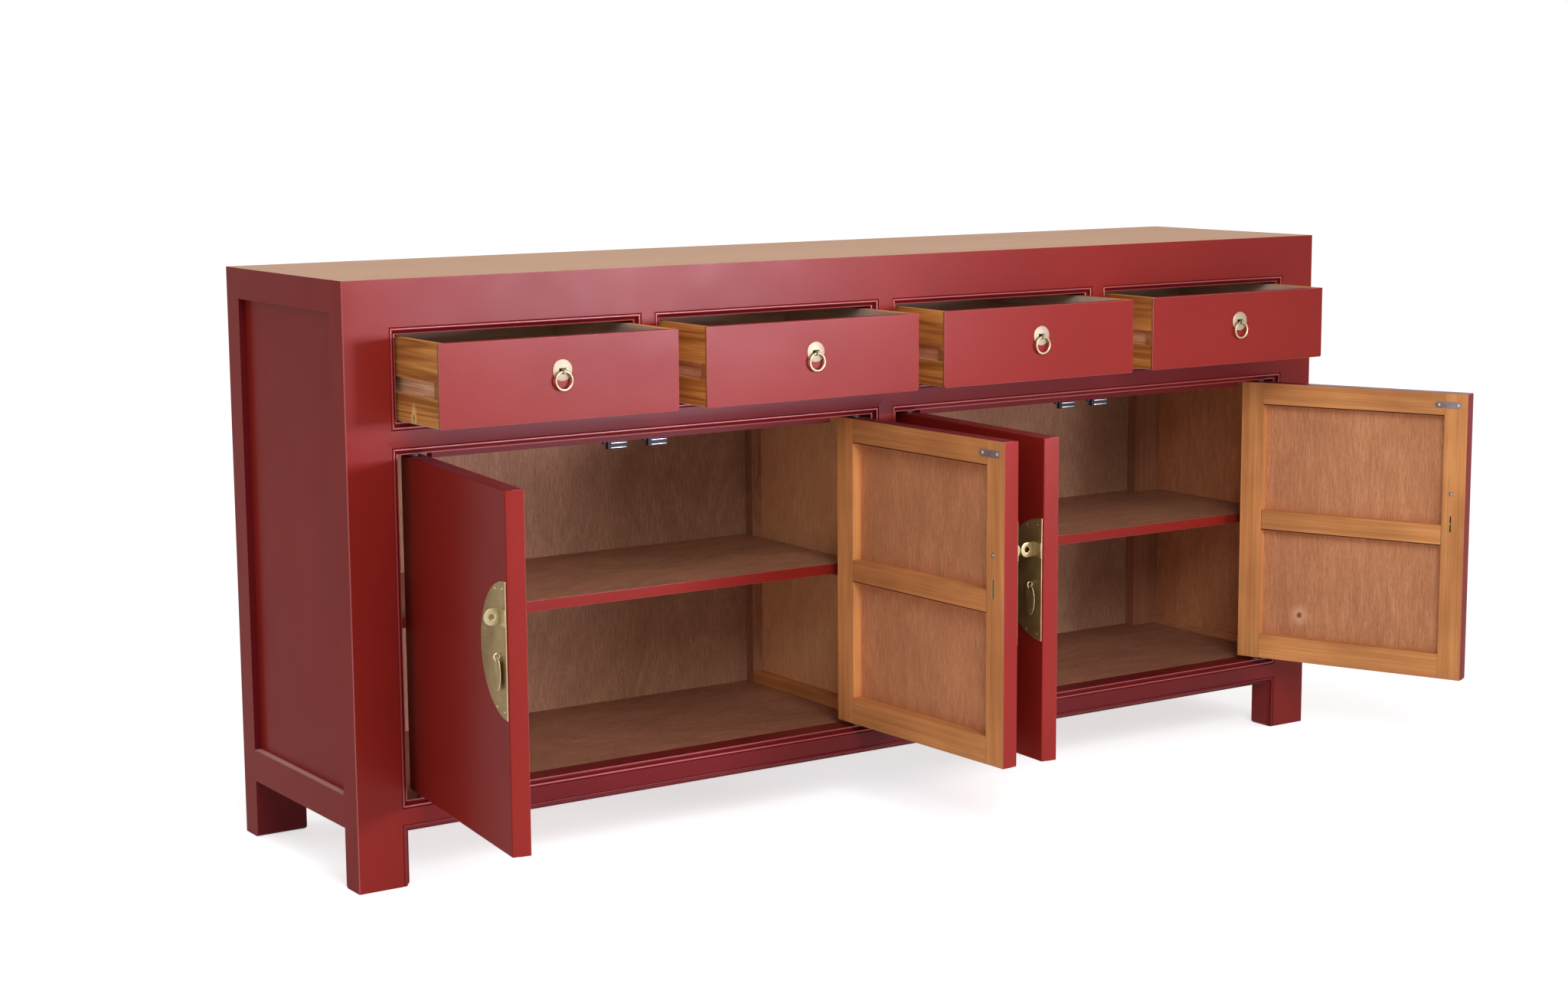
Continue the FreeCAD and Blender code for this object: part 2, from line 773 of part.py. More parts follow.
def door_fittings():
    """Pivot pins with collars, strike plate, nut and split pin legs."""
    lower_collar = door_bottom_gap - collar_clearance
    upper_collar = door_top_gap - collar_clearance
    up = Vector(0, 0, 1)
    lower = rod(Vector(0, 0, door_base_z - lower_collar), up, collar_radius, lower_collar)
    lower_pin = rod(Vector(0, 0, floor_z - pin_reach), up, pin_radius, pin_reach + door_bottom_gap)
    upper = rod(Vector(0, 0, door_top), up, collar_radius, upper_collar)
    upper_pin = rod(Vector(0, 0, door_top), up, pin_radius, door_top_gap + pin_reach)
    strike_right = free_edge_x - strike_from_edge
    strike_z = door_top - strike_from_top - strike_height / 2
    strike = box(strike_right - strike_width, strike_right, door_back_y, door_back_y + strike_thickness,
                 strike_z, strike_z + strike_height)
    eye = leaf_eye_centre()
    nut_z = door_base_z + lock_rise + ear_rise - nut_drop
    nut = rod(Vector(eye.x, door_back_y, nut_z), Vector(0, 1, 0), nut_radius, nut_thickness)
    leg_x = eye.x - split_leg_width / 2
    leg_z = eye.z - split_leg_length / 2
    legs = box(leg_x, leg_x + split_leg_width, door_back_y, door_back_y + split_leg_thickness,
               leg_z, leg_z + split_leg_length)
    return [lower.fuse(lower_pin).removeSplitter(), upper.fuse(upper_pin).removeSplitter(), strike, nut, legs]


def door_leaf():
    """Oval leaf that hangs from its eye by a hole near its upper end."""
    eye = leaf_eye_centre()
    hole_top = eye.z - leaf_eye_radius + leaf_eye_wire + leaf_clearance
    hole_z = hole_top - leaf_hole_radius
    middle_z = hole_z + leaf_hole_from_top - leaf_height / 2
    front = eye.y - leaf_thickness / 2
    oval = Part.Ellipse(
        Vector(eye.x, front, middle_z + leaf_height / 2),
        Vector(eye.x + leaf_width / 2, front, middle_z),
        Vector(eye.x, front, middle_z),
    )
    leaf = Part.Face(Part.Wire(oval.toShape())).extrude(Vector(0, leaf_thickness, 0))
    hole = rod(Vector(eye.x, front - overrun, hole_z), Vector(0, 1, 0), leaf_hole_radius,
               leaf_thickness + 2 * overrun)
    return [leaf.cut(hole).Solids[0]]


def doors():
    """All four doors with what is fixed to them."""
    makers = {
        "skin": door_skin,
        "frame": door_frame,
        "lock": door_lock,
        "fittings": door_fittings,
        "leaf": door_leaf,
    }
    for part_name, make in makers.items():
        shapes = make()
        for number in range(1, len(pivot_x) + 1):
            save("door_" + str(number) + "_" + part_name, place_door(shapes, number))


os.makedirs("parts", exist_ok=True)
front_frame()
sides()
back_top_floor()
partition()
shelves()
guides_and_runners()
stops_and_catches()
for index, opening in enumerate(drawer_openings):
    drawer(index + 1, opening, drawer_pulled_out[index])
doors()
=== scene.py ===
# %% [markdown]
# # A lacquered sideboard
# The cabinet is a frame-and-panel carcass with four drawers over two bays, and each bay closes
# with a pair of pivoted doors. Its wood and brass were built to size elsewhere, and that model is
# loaded first as a fixed frame. This file gives the cabinet its looks: softened arrises, lacquer,
# bare wood with its grain, and small brass and steel fittings, modelled one by one.
#
# Everything is in metres. X runs to the right as seen from the front, Y to the back and Z up.

import json
import math

import bmesh
import bpy
from mathutils import Matrix, Quaternion, Vector
from mathutils.bvhtree import BVHTree

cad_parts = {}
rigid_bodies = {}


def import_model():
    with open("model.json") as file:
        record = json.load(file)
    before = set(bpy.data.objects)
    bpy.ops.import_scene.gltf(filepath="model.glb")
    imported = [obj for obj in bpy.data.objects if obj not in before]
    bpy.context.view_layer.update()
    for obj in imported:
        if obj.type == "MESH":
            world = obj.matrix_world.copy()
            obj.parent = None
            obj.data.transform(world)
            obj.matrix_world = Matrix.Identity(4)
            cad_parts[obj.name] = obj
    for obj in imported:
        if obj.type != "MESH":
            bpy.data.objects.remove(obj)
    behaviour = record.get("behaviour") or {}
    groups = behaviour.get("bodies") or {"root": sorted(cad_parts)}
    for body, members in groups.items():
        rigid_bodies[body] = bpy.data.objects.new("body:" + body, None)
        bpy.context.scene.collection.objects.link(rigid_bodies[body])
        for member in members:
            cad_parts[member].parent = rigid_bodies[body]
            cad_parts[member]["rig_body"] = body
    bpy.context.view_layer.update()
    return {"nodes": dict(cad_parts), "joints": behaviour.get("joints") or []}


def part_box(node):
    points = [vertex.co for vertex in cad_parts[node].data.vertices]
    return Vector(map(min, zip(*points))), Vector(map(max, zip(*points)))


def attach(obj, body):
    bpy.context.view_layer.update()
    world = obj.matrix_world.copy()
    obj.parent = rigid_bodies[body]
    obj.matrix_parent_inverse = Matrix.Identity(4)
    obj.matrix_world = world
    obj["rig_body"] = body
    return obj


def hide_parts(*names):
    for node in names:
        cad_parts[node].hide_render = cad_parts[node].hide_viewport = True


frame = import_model()
nodes = frame["nodes"]
joints = {joint["name"]: joint for joint in frame["joints"]}

# %% [markdown]
# ## Camera
# The photograph was taken from the left, a little above the top of the cabinet. A camera needs
# three things: where it stands, where it looks, and how long its lens is. The lens is worked out
# from the focal length in pixels, and a sensor as wide as film.

# %% Camera
camera_place = Vector((-2.3932, -3.5021, 1.0951))
camera_direction = Vector((0.5489, 0.8223, -0.1501))
camera_roll_degrees = -0.36
focal_length_pixels = 3486.6
picture_width_pixels = 2048
sensor_width_mm = 36.0

aim = camera_direction.to_track_quat("-Z", "Y")
roll = Quaternion((0, 0, 1), math.radians(camera_roll_degrees))
bpy.ops.object.camera_add(location=camera_place, rotation=(aim @ roll).to_euler())
camera = bpy.context.object
camera.data.sensor_width = sensor_width_mm
camera.data.lens = focal_length_pixels * sensor_width_mm / picture_width_pixels
bpy.context.scene.camera = camera
print("lens:", round(camera.data.lens, 2), "mm")

# %% [markdown]
# ## Materials: helpers
# A material is a small graph of nodes. Patterns are read either from Object coordinates, which
# are the cabinet's own metres, or, on boards, from an attribute called `grain`: it holds how far
# a point lies along its board, across it and into it, so that wood grain follows every board
# whatever way the board is turned. These helpers add a node, or a few that belong together.

# %% Helpers for materials
def material(name):
    """A new material with its node tree and main shader."""
    made = bpy.data.materials.new(name)
    made.use_nodes = True
    return made, made.node_tree, made.node_tree.nodes["Principled BSDF"]


def join_or_set(tree, socket, value):
    """Link an output into an input, or set the input to a plain value."""
    if isinstance(value, bpy.types.NodeSocket):
        tree.links.new(value, socket)
    else:
        socket.default_value = value


def node(tree, kind, settings=None, **inputs):
    """Add a node, set its properties, and set or link its inputs by name, or by number as i0."""
    made = tree.nodes.new("ShaderNode" + kind)
    for name, value in (settings or {}).items():
        setattr(made, name, value)
    for name, value in inputs.items():
        by_number = name[0] == "i" and name[1:].isdigit()
        join_or_set(tree, made.inputs[int(name[1:]) if by_number else name], value)
    return made


def give(tree, shader, **inputs):
    """Link or set inputs of a shader, by their names with _ in place of a space."""
    for name, value in inputs.items():
        join_or_set(tree, shader.inputs[name.replace("_", " ")], value)


def math_node(tree, operation, first, second):
    """Work out one value from two."""
    return node(tree, "Math", {"operation": operation}, i0=first, i1=second).outputs[0]


def times(tree, first, second):
    """One value times another."""
    return math_node(tree, "MULTIPLY", first, second)


def plus(tree, first, second):
    """One value plus another."""
    return math_node(tree, "ADD", first, second)


def spread(tree, value, low, high, to_low=0.0, to_high=1.0):
    """Stretch the part of a value between low and high over a new range."""
    ends = {"From Min": low, "From Max": high, "To Min": to_low, "To Max": to_high}
    return node(tree, "MapRange", Value=value, **ends).outputs["Result"]


# %% [markdown]
# The next helpers give the patterns: the place on the cabinet, the same place stretched along
# some axes, and a noise at either. A noise seldom leaves the range in `noise_middle`, so that is
# the part that most patterns spread out. The last helpers blend two colours, let a pattern raise
# the surface, and turn a colour as it looks on a screen into the linear one that a shader wants.

# %% Helpers for patterns and colours
noise_middle = (0.3, 0.7)


def object_metres(tree):
    """The cabinet's own coordinates."""
    return node(tree, "TexCoord").outputs["Object"]


def stretched(tree, vector, scale):
    """Coordinates scaled along each axis, which stretches a pattern."""
    return node(tree, "Mapping", {"vector_type": "POINT"}, Vector=vector, Scale=scale).outputs["Vector"]


def noise(tree, vector, scale, detail=2.0, roughness=0.5, distortion=0.0):
    """A noise pattern between 0 and 1."""
    inputs = {"Scale": scale, "Detail": detail, "Roughness": roughness, "Distortion": distortion}
    return node(tree, "TexNoise", Vector=vector, **inputs).outputs["Fac"]


def stretched_noise(tree, vector, stretch, detail=3.0, roughness=0.5, distortion=0.0):
    """A noise pattern at stretched coordinates."""
    return noise(tree, stretched(tree, vector, stretch), 1.0, detail, roughness, distortion)


def mixed(tree, share, first, second, blend="MIX"):
    """Blend two colours, or a colour with a pattern."""
    made = node(tree, "Mix", {"data_type": "RGBA", "blend_type": blend}, i0=share, i6=first, i7=second)
    return made.outputs[2]


def bumped(tree, shader, height, distance, strength):
    """Let a pattern raise the surface a little."""
    made = node(tree, "Bump", Height=height, Distance=distance, Strength=strength)
    give(tree, shader, Normal=made.outputs["Normal"])


def srgb(colour):
    """A colour given as it looks on a screen, from 0 to 255, as a shader wants it."""
    def linear(level):
        share = level / 255
        return share / 12.92 if share <= 0.04045 else ((share + 0.055) / 1.055) ** 2.4

    return tuple(linear(level) for level in colour) + (1.0,)


# %% [markdown]
# ## Studio
# The cabinet stands on a plain pale floor in front of nothing. The world gives an even light from
# all round, but the camera and shiny surfaces see it as plain white: the Light Path node tells
# the two apart. A round key lamp, higher than the camera and in front of the cabinet, gives the
# shapes a direction, and a low soft box at the right gives the front its broad sheen.

# %% Studio
world_fill = 0.52
white = (1.0, 1.0, 1.0, 1.0)
floor_reach = 80.0
floor_colour = (0.9, 0.9, 0.9, 1.0)
floor_glow = 0.62
key_place = Vector((-1.1, -3.2, 2.5))
key_aim = Vector((0.0, -0.3, 0.45))
key_size = 1.8
key_power = 58.0
softbox_place = Vector((1.03, -2.9, 0.8))
softbox_aim = Vector((-0.55, -0.2, 0.8))
softbox_width = 1.0
softbox_height = 0.4
softbox_power = 8.4
softbox_spread_degrees = 62.0
softbox_colour = (0.88, 0.84, 1.0)


def seen_directly(tree, low, high):
    """A strength that is high for the camera and for shiny and clear surfaces, and low elsewhere."""
    rays = node(tree, "LightPath").outputs
    seen = rays["Is Camera Ray"]
    for ray in ("Is Glossy Ray", "Is Transmission Ray"):
        seen = math_node(tree, "MAXIMUM", seen, rays[ray])
    return spread(tree, seen, 0.0, 1.0, low, high)


def lamp(name, place, aim_point, energy, **settings):
    """Add an area lamp that shines from a place towards a point."""
    direction = (aim_point - place).to_track_quat("-Z", "Y")
    bpy.ops.object.light_add(type="AREA", location=place, rotation=direction.to_euler())
    bpy.context.object.name = name
    bpy.context.object.data.energy = energy
    for setting, value in settings.items():
        setattr(bpy.context.object.data, setting, value)


world = bpy.data.worlds.new("studio")
bpy.context.scene.world = world
world.use_nodes = True
world_tree = world.node_tree
even_light = seen_directly(world_tree, world_fill, 1.0)
give(world_tree, world_tree.nodes["Background"], Color=white, Strength=even_light)
bpy.context.scene.view_settings.view_transform = "Standard"

lamp("key", key_place, key_aim, key_power, shape="DISK", size=key_size)
lamp("softbox", softbox_place, softbox_aim, softbox_power, color=softbox_colour, shape="RECTANGLE",
     size=softbox_width, size_y=softbox_height, spread=math.radians(softbox_spread_degrees))

bpy.ops.mesh.primitive_plane_add(size=floor_reach)
floor = bpy.context.object
floor.name = "studio_floor"
floor_material, floor_tree, floor_shader = material("floor")
give(floor_tree, floor_shader, Base_Color=floor_colour, Roughness=1.0, Specular_IOR_Level=0.0,
     Emission_Color=white, Emission_Strength=seen_directly(floor_tree, 0.0, floor_glow))
floor.data.materials.append(floor_material)
print("lamps: 2, floor", floor_reach, "m wide")

# %% [markdown]
# ## Helpers for modelling
# An operator works on whatever is selected, so every step first selects just what it needs.
# `solo` takes one object in hand, and `choose` picks points, edges or faces of it in edit mode by
# a test on their place or direction, as a modeller would by clicking them. A modifier is applied
# as soon as it is set, so that the next step works on real faces.

# %% Helpers for modelling
def solo(piece):
    """Select one object and make it the active one."""
    bpy.ops.object.select_all(action="DESELECT")
    piece.select_set(True)
    bpy.context.view_layer.objects.active = piece


def edit(piece):
    """Open one object in edit mode, with all of it selected."""
    solo(piece)
    bpy.ops.object.mode_set(mode="EDIT")
    bpy.ops.mesh.select_all(action="SELECT")


def done():
    """Leave edit mode."""
    bpy.ops.object.mode_set(mode="OBJECT")


def choose(kind, wanted):
    """In edit mode, select the verts, edges or faces of the open mesh that pass a test."""
    mesh = bpy.context.edit_object.data
    shape = bmesh.from_edit_mesh(mesh)
    bpy.ops.mesh.select_all(action="DESELECT")
    kinds = ("verts", "edges", "faces")
    bpy.context.tool_settings.mesh_select_mode = [kind == other for other in kinds]
    for element in getattr(shape, kind):
        element.select_set(wanted(element))
    if kind == "verts":
        shape.select_flush_mode()
    bmesh.update_edit_mesh(mesh)


def turn_outwards():
    """In edit mode, make every face of the open mesh look outwards."""
    bpy.ops.mesh.select_all(action="SELECT")
    bpy.ops.mesh.normals_make_consistent(inside=False)


def modified(piece, kind, **settings):
    """Add a modifier to a piece, set it up and apply it."""
    solo(piece)
    bpy.ops.object.modifier_add(type=kind)
    modifier = piece.modifiers[-1]
    for name, value in settings.items():
        setattr(modifier, name, value)
    bpy.ops.object.modifier_apply(modifier=modifier.name)


# %% [markdown]
# ## Red lacquer
# The outside has a satin red lacquer over filled wood. Up close it isn't quite flat: it keeps
# faint strokes that run along the rails, a fine orange peel, and slow waves that make a reflection
# wander. The colour drifts by a shade or two over a panel. The arrises get a slightly paler
# lacquer, partly because the film is thin there and partly as a painted highlight. The hollows
# of the mouldings and the middle and bottom rails get a darker one, which is painted shade. A
# table of the rails says where each band of painted shade starts and ends, counted upwards from
# its rail's underside and from its top.

# %% Red lacquer
lacquer_red = (142, 37, 30)
lacquer_deep = (128, 30, 25)
shaded_red = (112, 26, 30)
shaded_deep = (98, 21, 25)
drift_scale = 3.5
drift_share = 0.7
speckle_scale = 420.0
speckle_share = 0.3
speckle_middle = (0.35, 0.75)
peel_scale = 330.0
stroke_stretch = (30.0, 240.0, 620.0)
stroke_height = 0.6
wave_stretch = (6.0, 6.0, 14.0)
wave_height = 9.0
lacquer_relief = 0.00013
lacquer_bump = 0.4
sheen_scale = 14.0
satin = (0.29, 0.34)
band_edge = 0.003
rail_fade = (0.74, 0.85)
rail_shade_bands = {"mid_rail_front": (-0.002, -0.005), "bottom_rail_front": (-0.018, 0.006)}


def lower_rails(tree, place):
    """Painted shade on the middle and bottom rails: 1 there, 0 elsewhere, fading out towards the legs."""
    parts = node(tree, "SeparateXYZ", Vector=place).outputs
    amount = 0.0
    for name, (under, over) in rail_shade_bands.items():
        low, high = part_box(name)
        above = spread(tree, parts["Z"], low.z + under, low.z + under + band_edge)
        below = spread(tree, parts["Z"], high.z + over, high.z + over + band_edge, 1.0, 0.0)
        amount = plus(tree, times(tree, above, below), amount)
    from_middle = math_node(tree, "ABSOLUTE", parts["X"], 0.0)
    return times(tree, amount, spread(tree, from_middle, *rail_fade, 1.0, 0.0))


def lacquer(name, colour, deep, gloss=0.7, index=1.2, banded=False):
    """Satin lacquer with faint strokes, orange peel and a slight drift of colour, and painted shade on the
    lower rails if asked.
    """
    made, tree, shader = material(name)
    place = object_metres(tree)
    drift = spread(tree, noise(tree, place, drift_scale, 3.0, 0.6), *noise_middle)
    speckle = spread(tree, noise(tree, place, speckle_scale, 1.0), *speckle_middle)
    shade = plus(tree, times(tree, drift, drift_share), times(tree, speckle, speckle_share))
    tint = mixed(tree, shade, srgb(colour), srgb(deep))
    if banded:
        deeper = mixed(tree, shade, srgb(shaded_red), srgb(shaded_deep))
        tint = mixed(tree, lower_rails(tree, place), tint, deeper)
    rough = spread(tree, noise(tree, place, sheen_scale, 3.0), *noise_middle, *satin)
    strokes = times(tree, stretched_noise(tree, place, stroke_stretch), stroke_height)
    waves = times(tree, stretched_noise(tree, place, wave_stretch, 1.0), wave_height)
    height = plus(tree, plus(tree, strokes, noise(tree, place, peel_scale, 1.0)), waves)
    bumped(tree, shader, height, lacquer_relief, lacquer_bump)
    give(tree, shader, Base_Color=tint, Roughness=rough, IOR=index, Specular_IOR_Level=gloss)
    return made


lacquer_material = lacquer("red lacquer", lacquer_red, lacquer_deep, banded=True)
# The darker lacquer is painted shade, used in the moulding hollows, on the door tops and on the door stops.
shaded_material = lacquer("deeper red lacquer", shaded_red, shaded_deep, 0.55)
side_material = lacquer("red lacquer of the sides", lacquer_red, lacquer_deep, 0.15)
# The paler arris lacquer is partly the thin film at an edge and partly a painted highlight.
arris_highlight_material = lacquer("red lacquer arris", (170, 70, 68), (150, 52, 50), 0.6, 1.5)
# The pale ledge lacquer is a painted highlight, standing for a bright reflection along the ledge.
ledge_highlight_material = lacquer("rubbed ledge lacquer", (232, 180, 178), (208, 150, 148), 0.6, 1.5)
print("materials with the lacquers:", len(bpy.data.materials))

# %% [markdown]
# ## Bare wood
# Inside, the wood is only oiled. One function makes every kind: contour lines cut from a long
# stretched noise give the growth rings, a much finer one gives the fibres, and a soft cloud
# changes the tone from place to place. Colours and strengths make the difference between solid
# frame wood, plywood and drawer sides. Two boards also have a knot, where the photograph shows one.

# %% Bare wood
quarter_turn = math.pi / 2
upright = (0.0, quarter_turn, 0.0)
level = (0.0, 0.0, 0.0)
wood_sheen = (0.6, 0.45)
wood_relief = 0.0002
wood_bump = 0.3
fibre_middle = (0.8, 1.2)
cloud_stretch = (4.0, 7.0, 7.0)
cloud_middle = (0.35, 0.65)
ragged_scale = 260.0
ragged_depth = 0.12
halo_fade = (0.35, 1.0)
halo_share = 0.75
core_fade = (0.12, 0.3)
core_share = 0.85


def along_the_grain(tree, turned):
    """Coordinates along the board, or the cabinet's own, turned so that the grain lies along X."""
    if turned is None:
        return node(tree, "Attribute", {"attribute_name": "grain"}).outputs["Vector"]
    return node(tree, "Mapping", Vector=object_metres(tree), Rotation=turned).outputs["Vector"]


def with_knot(tree, colour, place, size, halo, core):
    """Draw a knot at a place on the cabinet: a pale halo round a small dark core."""
    apart = node(tree, "VectorMath", {"operation": "SUBTRACT"}, i0=object_metres(tree), i1=place).outputs[0]
    shrunk = stretched(tree, apart, tuple(1 / reach for reach in size))
    away = node(tree, "VectorMath", {"operation": "LENGTH"}, i0=shrunk).outputs["Value"]
    ragged = spread(tree, noise(tree, object_metres(tree), ragged_scale), 0, 1, -ragged_depth, ragged_depth)
    uneven = plus(tree, away, ragged)
    colour = mixed(tree, spread(tree, uneven, *halo_fade, halo_share, 0.0), colour, srgb(halo))
    return mixed(tree, spread(tree, uneven, *core_fade, core_share, 0.0), colour, srgb(core))


def timber(name, light, dark, rings=5.0, ring_depth=0.5, fibre_depth=0.5, cloud_depth=0.4,
           turned=None, figure=(1.3, 11.0, 11.0), streak=(2.5, 120.0, 120.0), fibre=(9.0, 900.0, 900.0),
           swirl=0.6, tone_depth=0.0, knot=None):
    """Oiled wood whose grain runs along the board, or along the axis that is turned to X."""
    made, tree, shader = material(name)
    along = along_the_grain(tree, turned)
    shape = stretched_noise(tree, along, figure, 3.0, 0.45, swirl)
    growth = math_node(tree, "PINGPONG", times(tree, shape, rings * 2), 1.0)
    fibres = stretched_noise(tree, along, fibre, 3.0, 0.6)
    streaks = stretched_noise(tree, along, streak, 3.0, 0.6)
    lines = plus(tree, fibres, streaks)
    cloud = stretched_noise(tree, along, cloud_stretch, 3.0, 0.55)
    colour = mixed(tree, times(tree, growth, ring_depth), srgb(light), srgb(dark))
    colour = mixed(tree, spread(tree, lines, *fibre_middle, fibre_depth, 0.0), colour, srgb(dark))
    colour = mixed(tree, 1.0, colour, spread(tree, cloud, *cloud_middle, 1.0 - cloud_depth, 1.0), "MULTIPLY")
    if tone_depth:
        tone = node(tree, "Attribute", {"attribute_name": "tone"}).outputs["Fac"]
        colour = mixed(tree, 1.0, colour, spread(tree, tone, 0.0, 1.0, 1.0 - tone_depth, 1.0), "MULTIPLY")
    if knot:
        colour = with_knot(tree, colour, **knot)
    rough = spread(tree, fibres, *noise_middle, *wood_sheen)
    bumped(tree, shader, lines, wood_relief, wood_bump)
    give(tree, shader, Base_Color=colour, Roughness=rough, IOR=1.25, Specular_IOR_Level=0.4)
    return made


# %% [markdown]
# ### Kinds of wood
# Every kind is a pair of colours and a few strengths. The plywood of the panels has a finer and
# wavier figure than solid wood, so its settings are kept together and given to each plywood. The
# kinds with `turned` read the cabinet's own coordinates: the top, whose wood lies over many
# pieces, and the boards that keep their built shape and so have no `grain`.

# %% Kinds of wood
ply_look = {
    "rings": 5.0,
    "ring_depth": 0.32,
    "fibre_depth": 0.7,
    "cloud_depth": 0.16,
    "figure": (2.4, 5.0, 5.0),
    "swirl": 2.2,
    "streak": (36.0, 380.0, 380.0),
    "fibre": (120.0, 1100.0, 1100.0),
}
door_knot = {
    "place": (0.826, -0.2637, 0.2079),
    "size": (0.02, 0.02, 0.022),
    "halo": (236, 178, 146),
    "core": (116, 62, 42),
}
drawer_knot = {
    "place": (-0.8188, -0.2441, 0.663),
    "size": (0.02, 0.010, 0.024),
    "halo": (255, 214, 140),
    "core": (70, 38, 20),
}
top_material = timber("tan top wood", (214, 165, 129), (198, 145, 109), 4.0, 0.15, 0.35, 0.05, turned=level)
honey_material = timber("honey frame wood", (255, 180, 112), (182, 106, 58), 4.0, 0.3, 0.45, 0.3,
                        tone_depth=0.14)
ply_material = timber("pink-brown plywood", (230, 164, 120), (184, 120, 80), **ply_look, knot=door_knot)
# The partition plywood is a paler copy of the panel plywood, as painted light inside the bay.
lit_ply_material = timber("partition plywood", (255, 208, 156), (230, 162, 116), **ply_look)
shelf_material = timber("shelf plywood", (200, 144, 112), (142, 96, 72), **ply_look)
back_ply_material = timber("back plywood", (198, 150, 119), (142, 101, 76), **ply_look, turned=upright)
floor_ply_material = timber("floor plywood", (178, 124, 97), (128, 84, 64), **ply_look, turned=level)
drawer_material = timber("golden drawer wood", (255, 180, 98), (146, 80, 34), 6.0, 0.8, 0.5, 0.25,
                         figure=(1.0, 20.0, 20.0), knot=drawer_knot)
# The inside of a drawer is greyer wood, made paler still as painted light for its dim inside.
inside_material = timber("drawer inside wood", (226, 202, 182), (176, 150, 128), 6.0, 0.5, 0.5, 0.2)
end_material = timber("drawer front core", (196, 128, 76), (120, 70, 38), 6.0, 0.5, 0.5, 0.25)
# Planed wood is paler, and the groove is paler still as painted light for its shade.
planed_material = timber("planed groove wood", (255, 214, 172), (190, 122, 88), 7.0, 0.5, 0.9, 0.1)
post_material = timber("post wood", (196, 138, 104), (140, 92, 68), 5.0, 0.3, 0.45, 0.2)
# Dark wood for the hairlines between bare boards, and as painted shadow under the door rails.
joint_and_shadow_material = timber("dark joint", (88, 48, 28), (62, 34, 20), 5.0, 0.3, 0.45, 0.2)
batten_material = timber("batten wood", (170, 112, 78), (112, 66, 44), 5.0, 0.4, 0.4, 0.2,
                         turned=(0.0, 0.0, quarter_turn))
print("materials with the woods:", len(bpy.data.materials))

# %% [markdown]
# ## Brass, steel and plastic
# The lock plates are brushed brass that has dulled to olive, while their rims, the rings and the
# ears are polished. Brushing is a bump and a roughness pattern stretched along one direction.

# %% Brass, steel and plastic
patch_scale = 30.0
patch_middle = (0.35, 0.7)
brush_stretch = (40.0, 40.0, 900.0)
brush_relief = 0.0001
brush_bump = 0.25
brush_smoother = 0.06
brush_rougher = 0.08
plastic_cloud_scale = 60.0
plastic_texture_scale = 1500.0
plastic_relief = 0.00005
plastic_bump = 0.4


def metal(name, colour, dull, roughness, bareness=1.0):
    """Brushed metal that is duller in soft patches."""
    made, tree, shader = material(name)
    place = object_metres(tree)
    patches = spread(tree, noise(tree, place, patch_scale, 4.0, 0.6), *patch_middle)
    tint = mixed(tree, patches, srgb(colour), srgb(dull))
    lines = stretched_noise(tree, place, brush_stretch, 2.0)
    rough = spread(tree, lines, *noise_middle, roughness - brush_smoother, roughness + brush_rougher)
    bumped(tree, shader, lines, brush_relief, brush_bump)
    give(tree, shader, Base_Color=tint, Roughness=rough, Metallic=bareness)
    return made


def plastic(name, colour, dark):
    """Moulded plastic with a fine texture."""
    made, tree, shader = material(name)
    place = object_metres(tree)
    tint = mixed(tree, noise(tree, place, plastic_cloud_scale, 3.0), srgb(colour), srgb(dark))
    texture = noise(tree, place, plastic_texture_scale, 1.0)
    bumped(tree, shader, texture, plastic_relief, plastic_bump)
    give(tree, shader, Base_Color=tint, Roughness=0.5, Specular_IOR_Level=0.2)
    return made


brass_material = metal("dulled brass", (162, 138, 90), (138, 114, 70), 0.45, 0.6)
bright_brass_material = metal("polished brass", (236, 216, 182), (214, 190, 150), 0.26)
rubbed_brass_material = metal("rubbed brass", (190, 174, 134), (166, 146, 102), 0.4, 0.75)
pale_brass_material = metal("pale brass", (178, 164, 142), (160, 146, 122), 0.5, 0.5)
ring_material = metal("brass ring", (206, 188, 150), (176, 154, 112), 0.3, 0.9)
rim_material = metal("brass rim", (240, 206, 170), (222, 184, 146), 0.3)
steel_material = metal("steel", (215, 214, 218), (186, 184, 190), 0.35, 0.5)
# The pivot pins and collars are darkened as painted shade.
pin_steel_in_shade_material = metal("oiled steel", (84, 70, 66), (60, 48, 45), 0.5, 0.4)
bright_steel_material = metal("bright steel", (236, 234, 238), (220, 218, 224), 0.35)
worn_steel_material = metal("worn steel", (156, 144, 146), (124, 110, 110), 0.42, 0.35)
# A dark finish that is painted shade, for the hollows of the split pins and the slots of the pulls.
hollow_shade_material = metal("dark hollow", (60, 44, 32), (42, 30, 22), 0.6)
catch_material = plastic("catch plastic", (58, 54, 62), (40, 36, 42))
print("materials with the metals:", len(bpy.data.materials))

# %% [markdown]
# ## Softened wood
# No piece of joinery has knife-sharp arrises: they are eased with sandpaper before the finish
# goes on, and that small round is what catches the light. Each wooden node is copied, its loose
# triangles are merged back into whole faces, and a bevel modifier eases just the arrises that
# don't lie against a neighbour, so that painted joints stay closed but for a hairline at a mitre.

# %% Copies of the solids
merge_distance = 0.00001
flat_angle = math.radians(0.5)


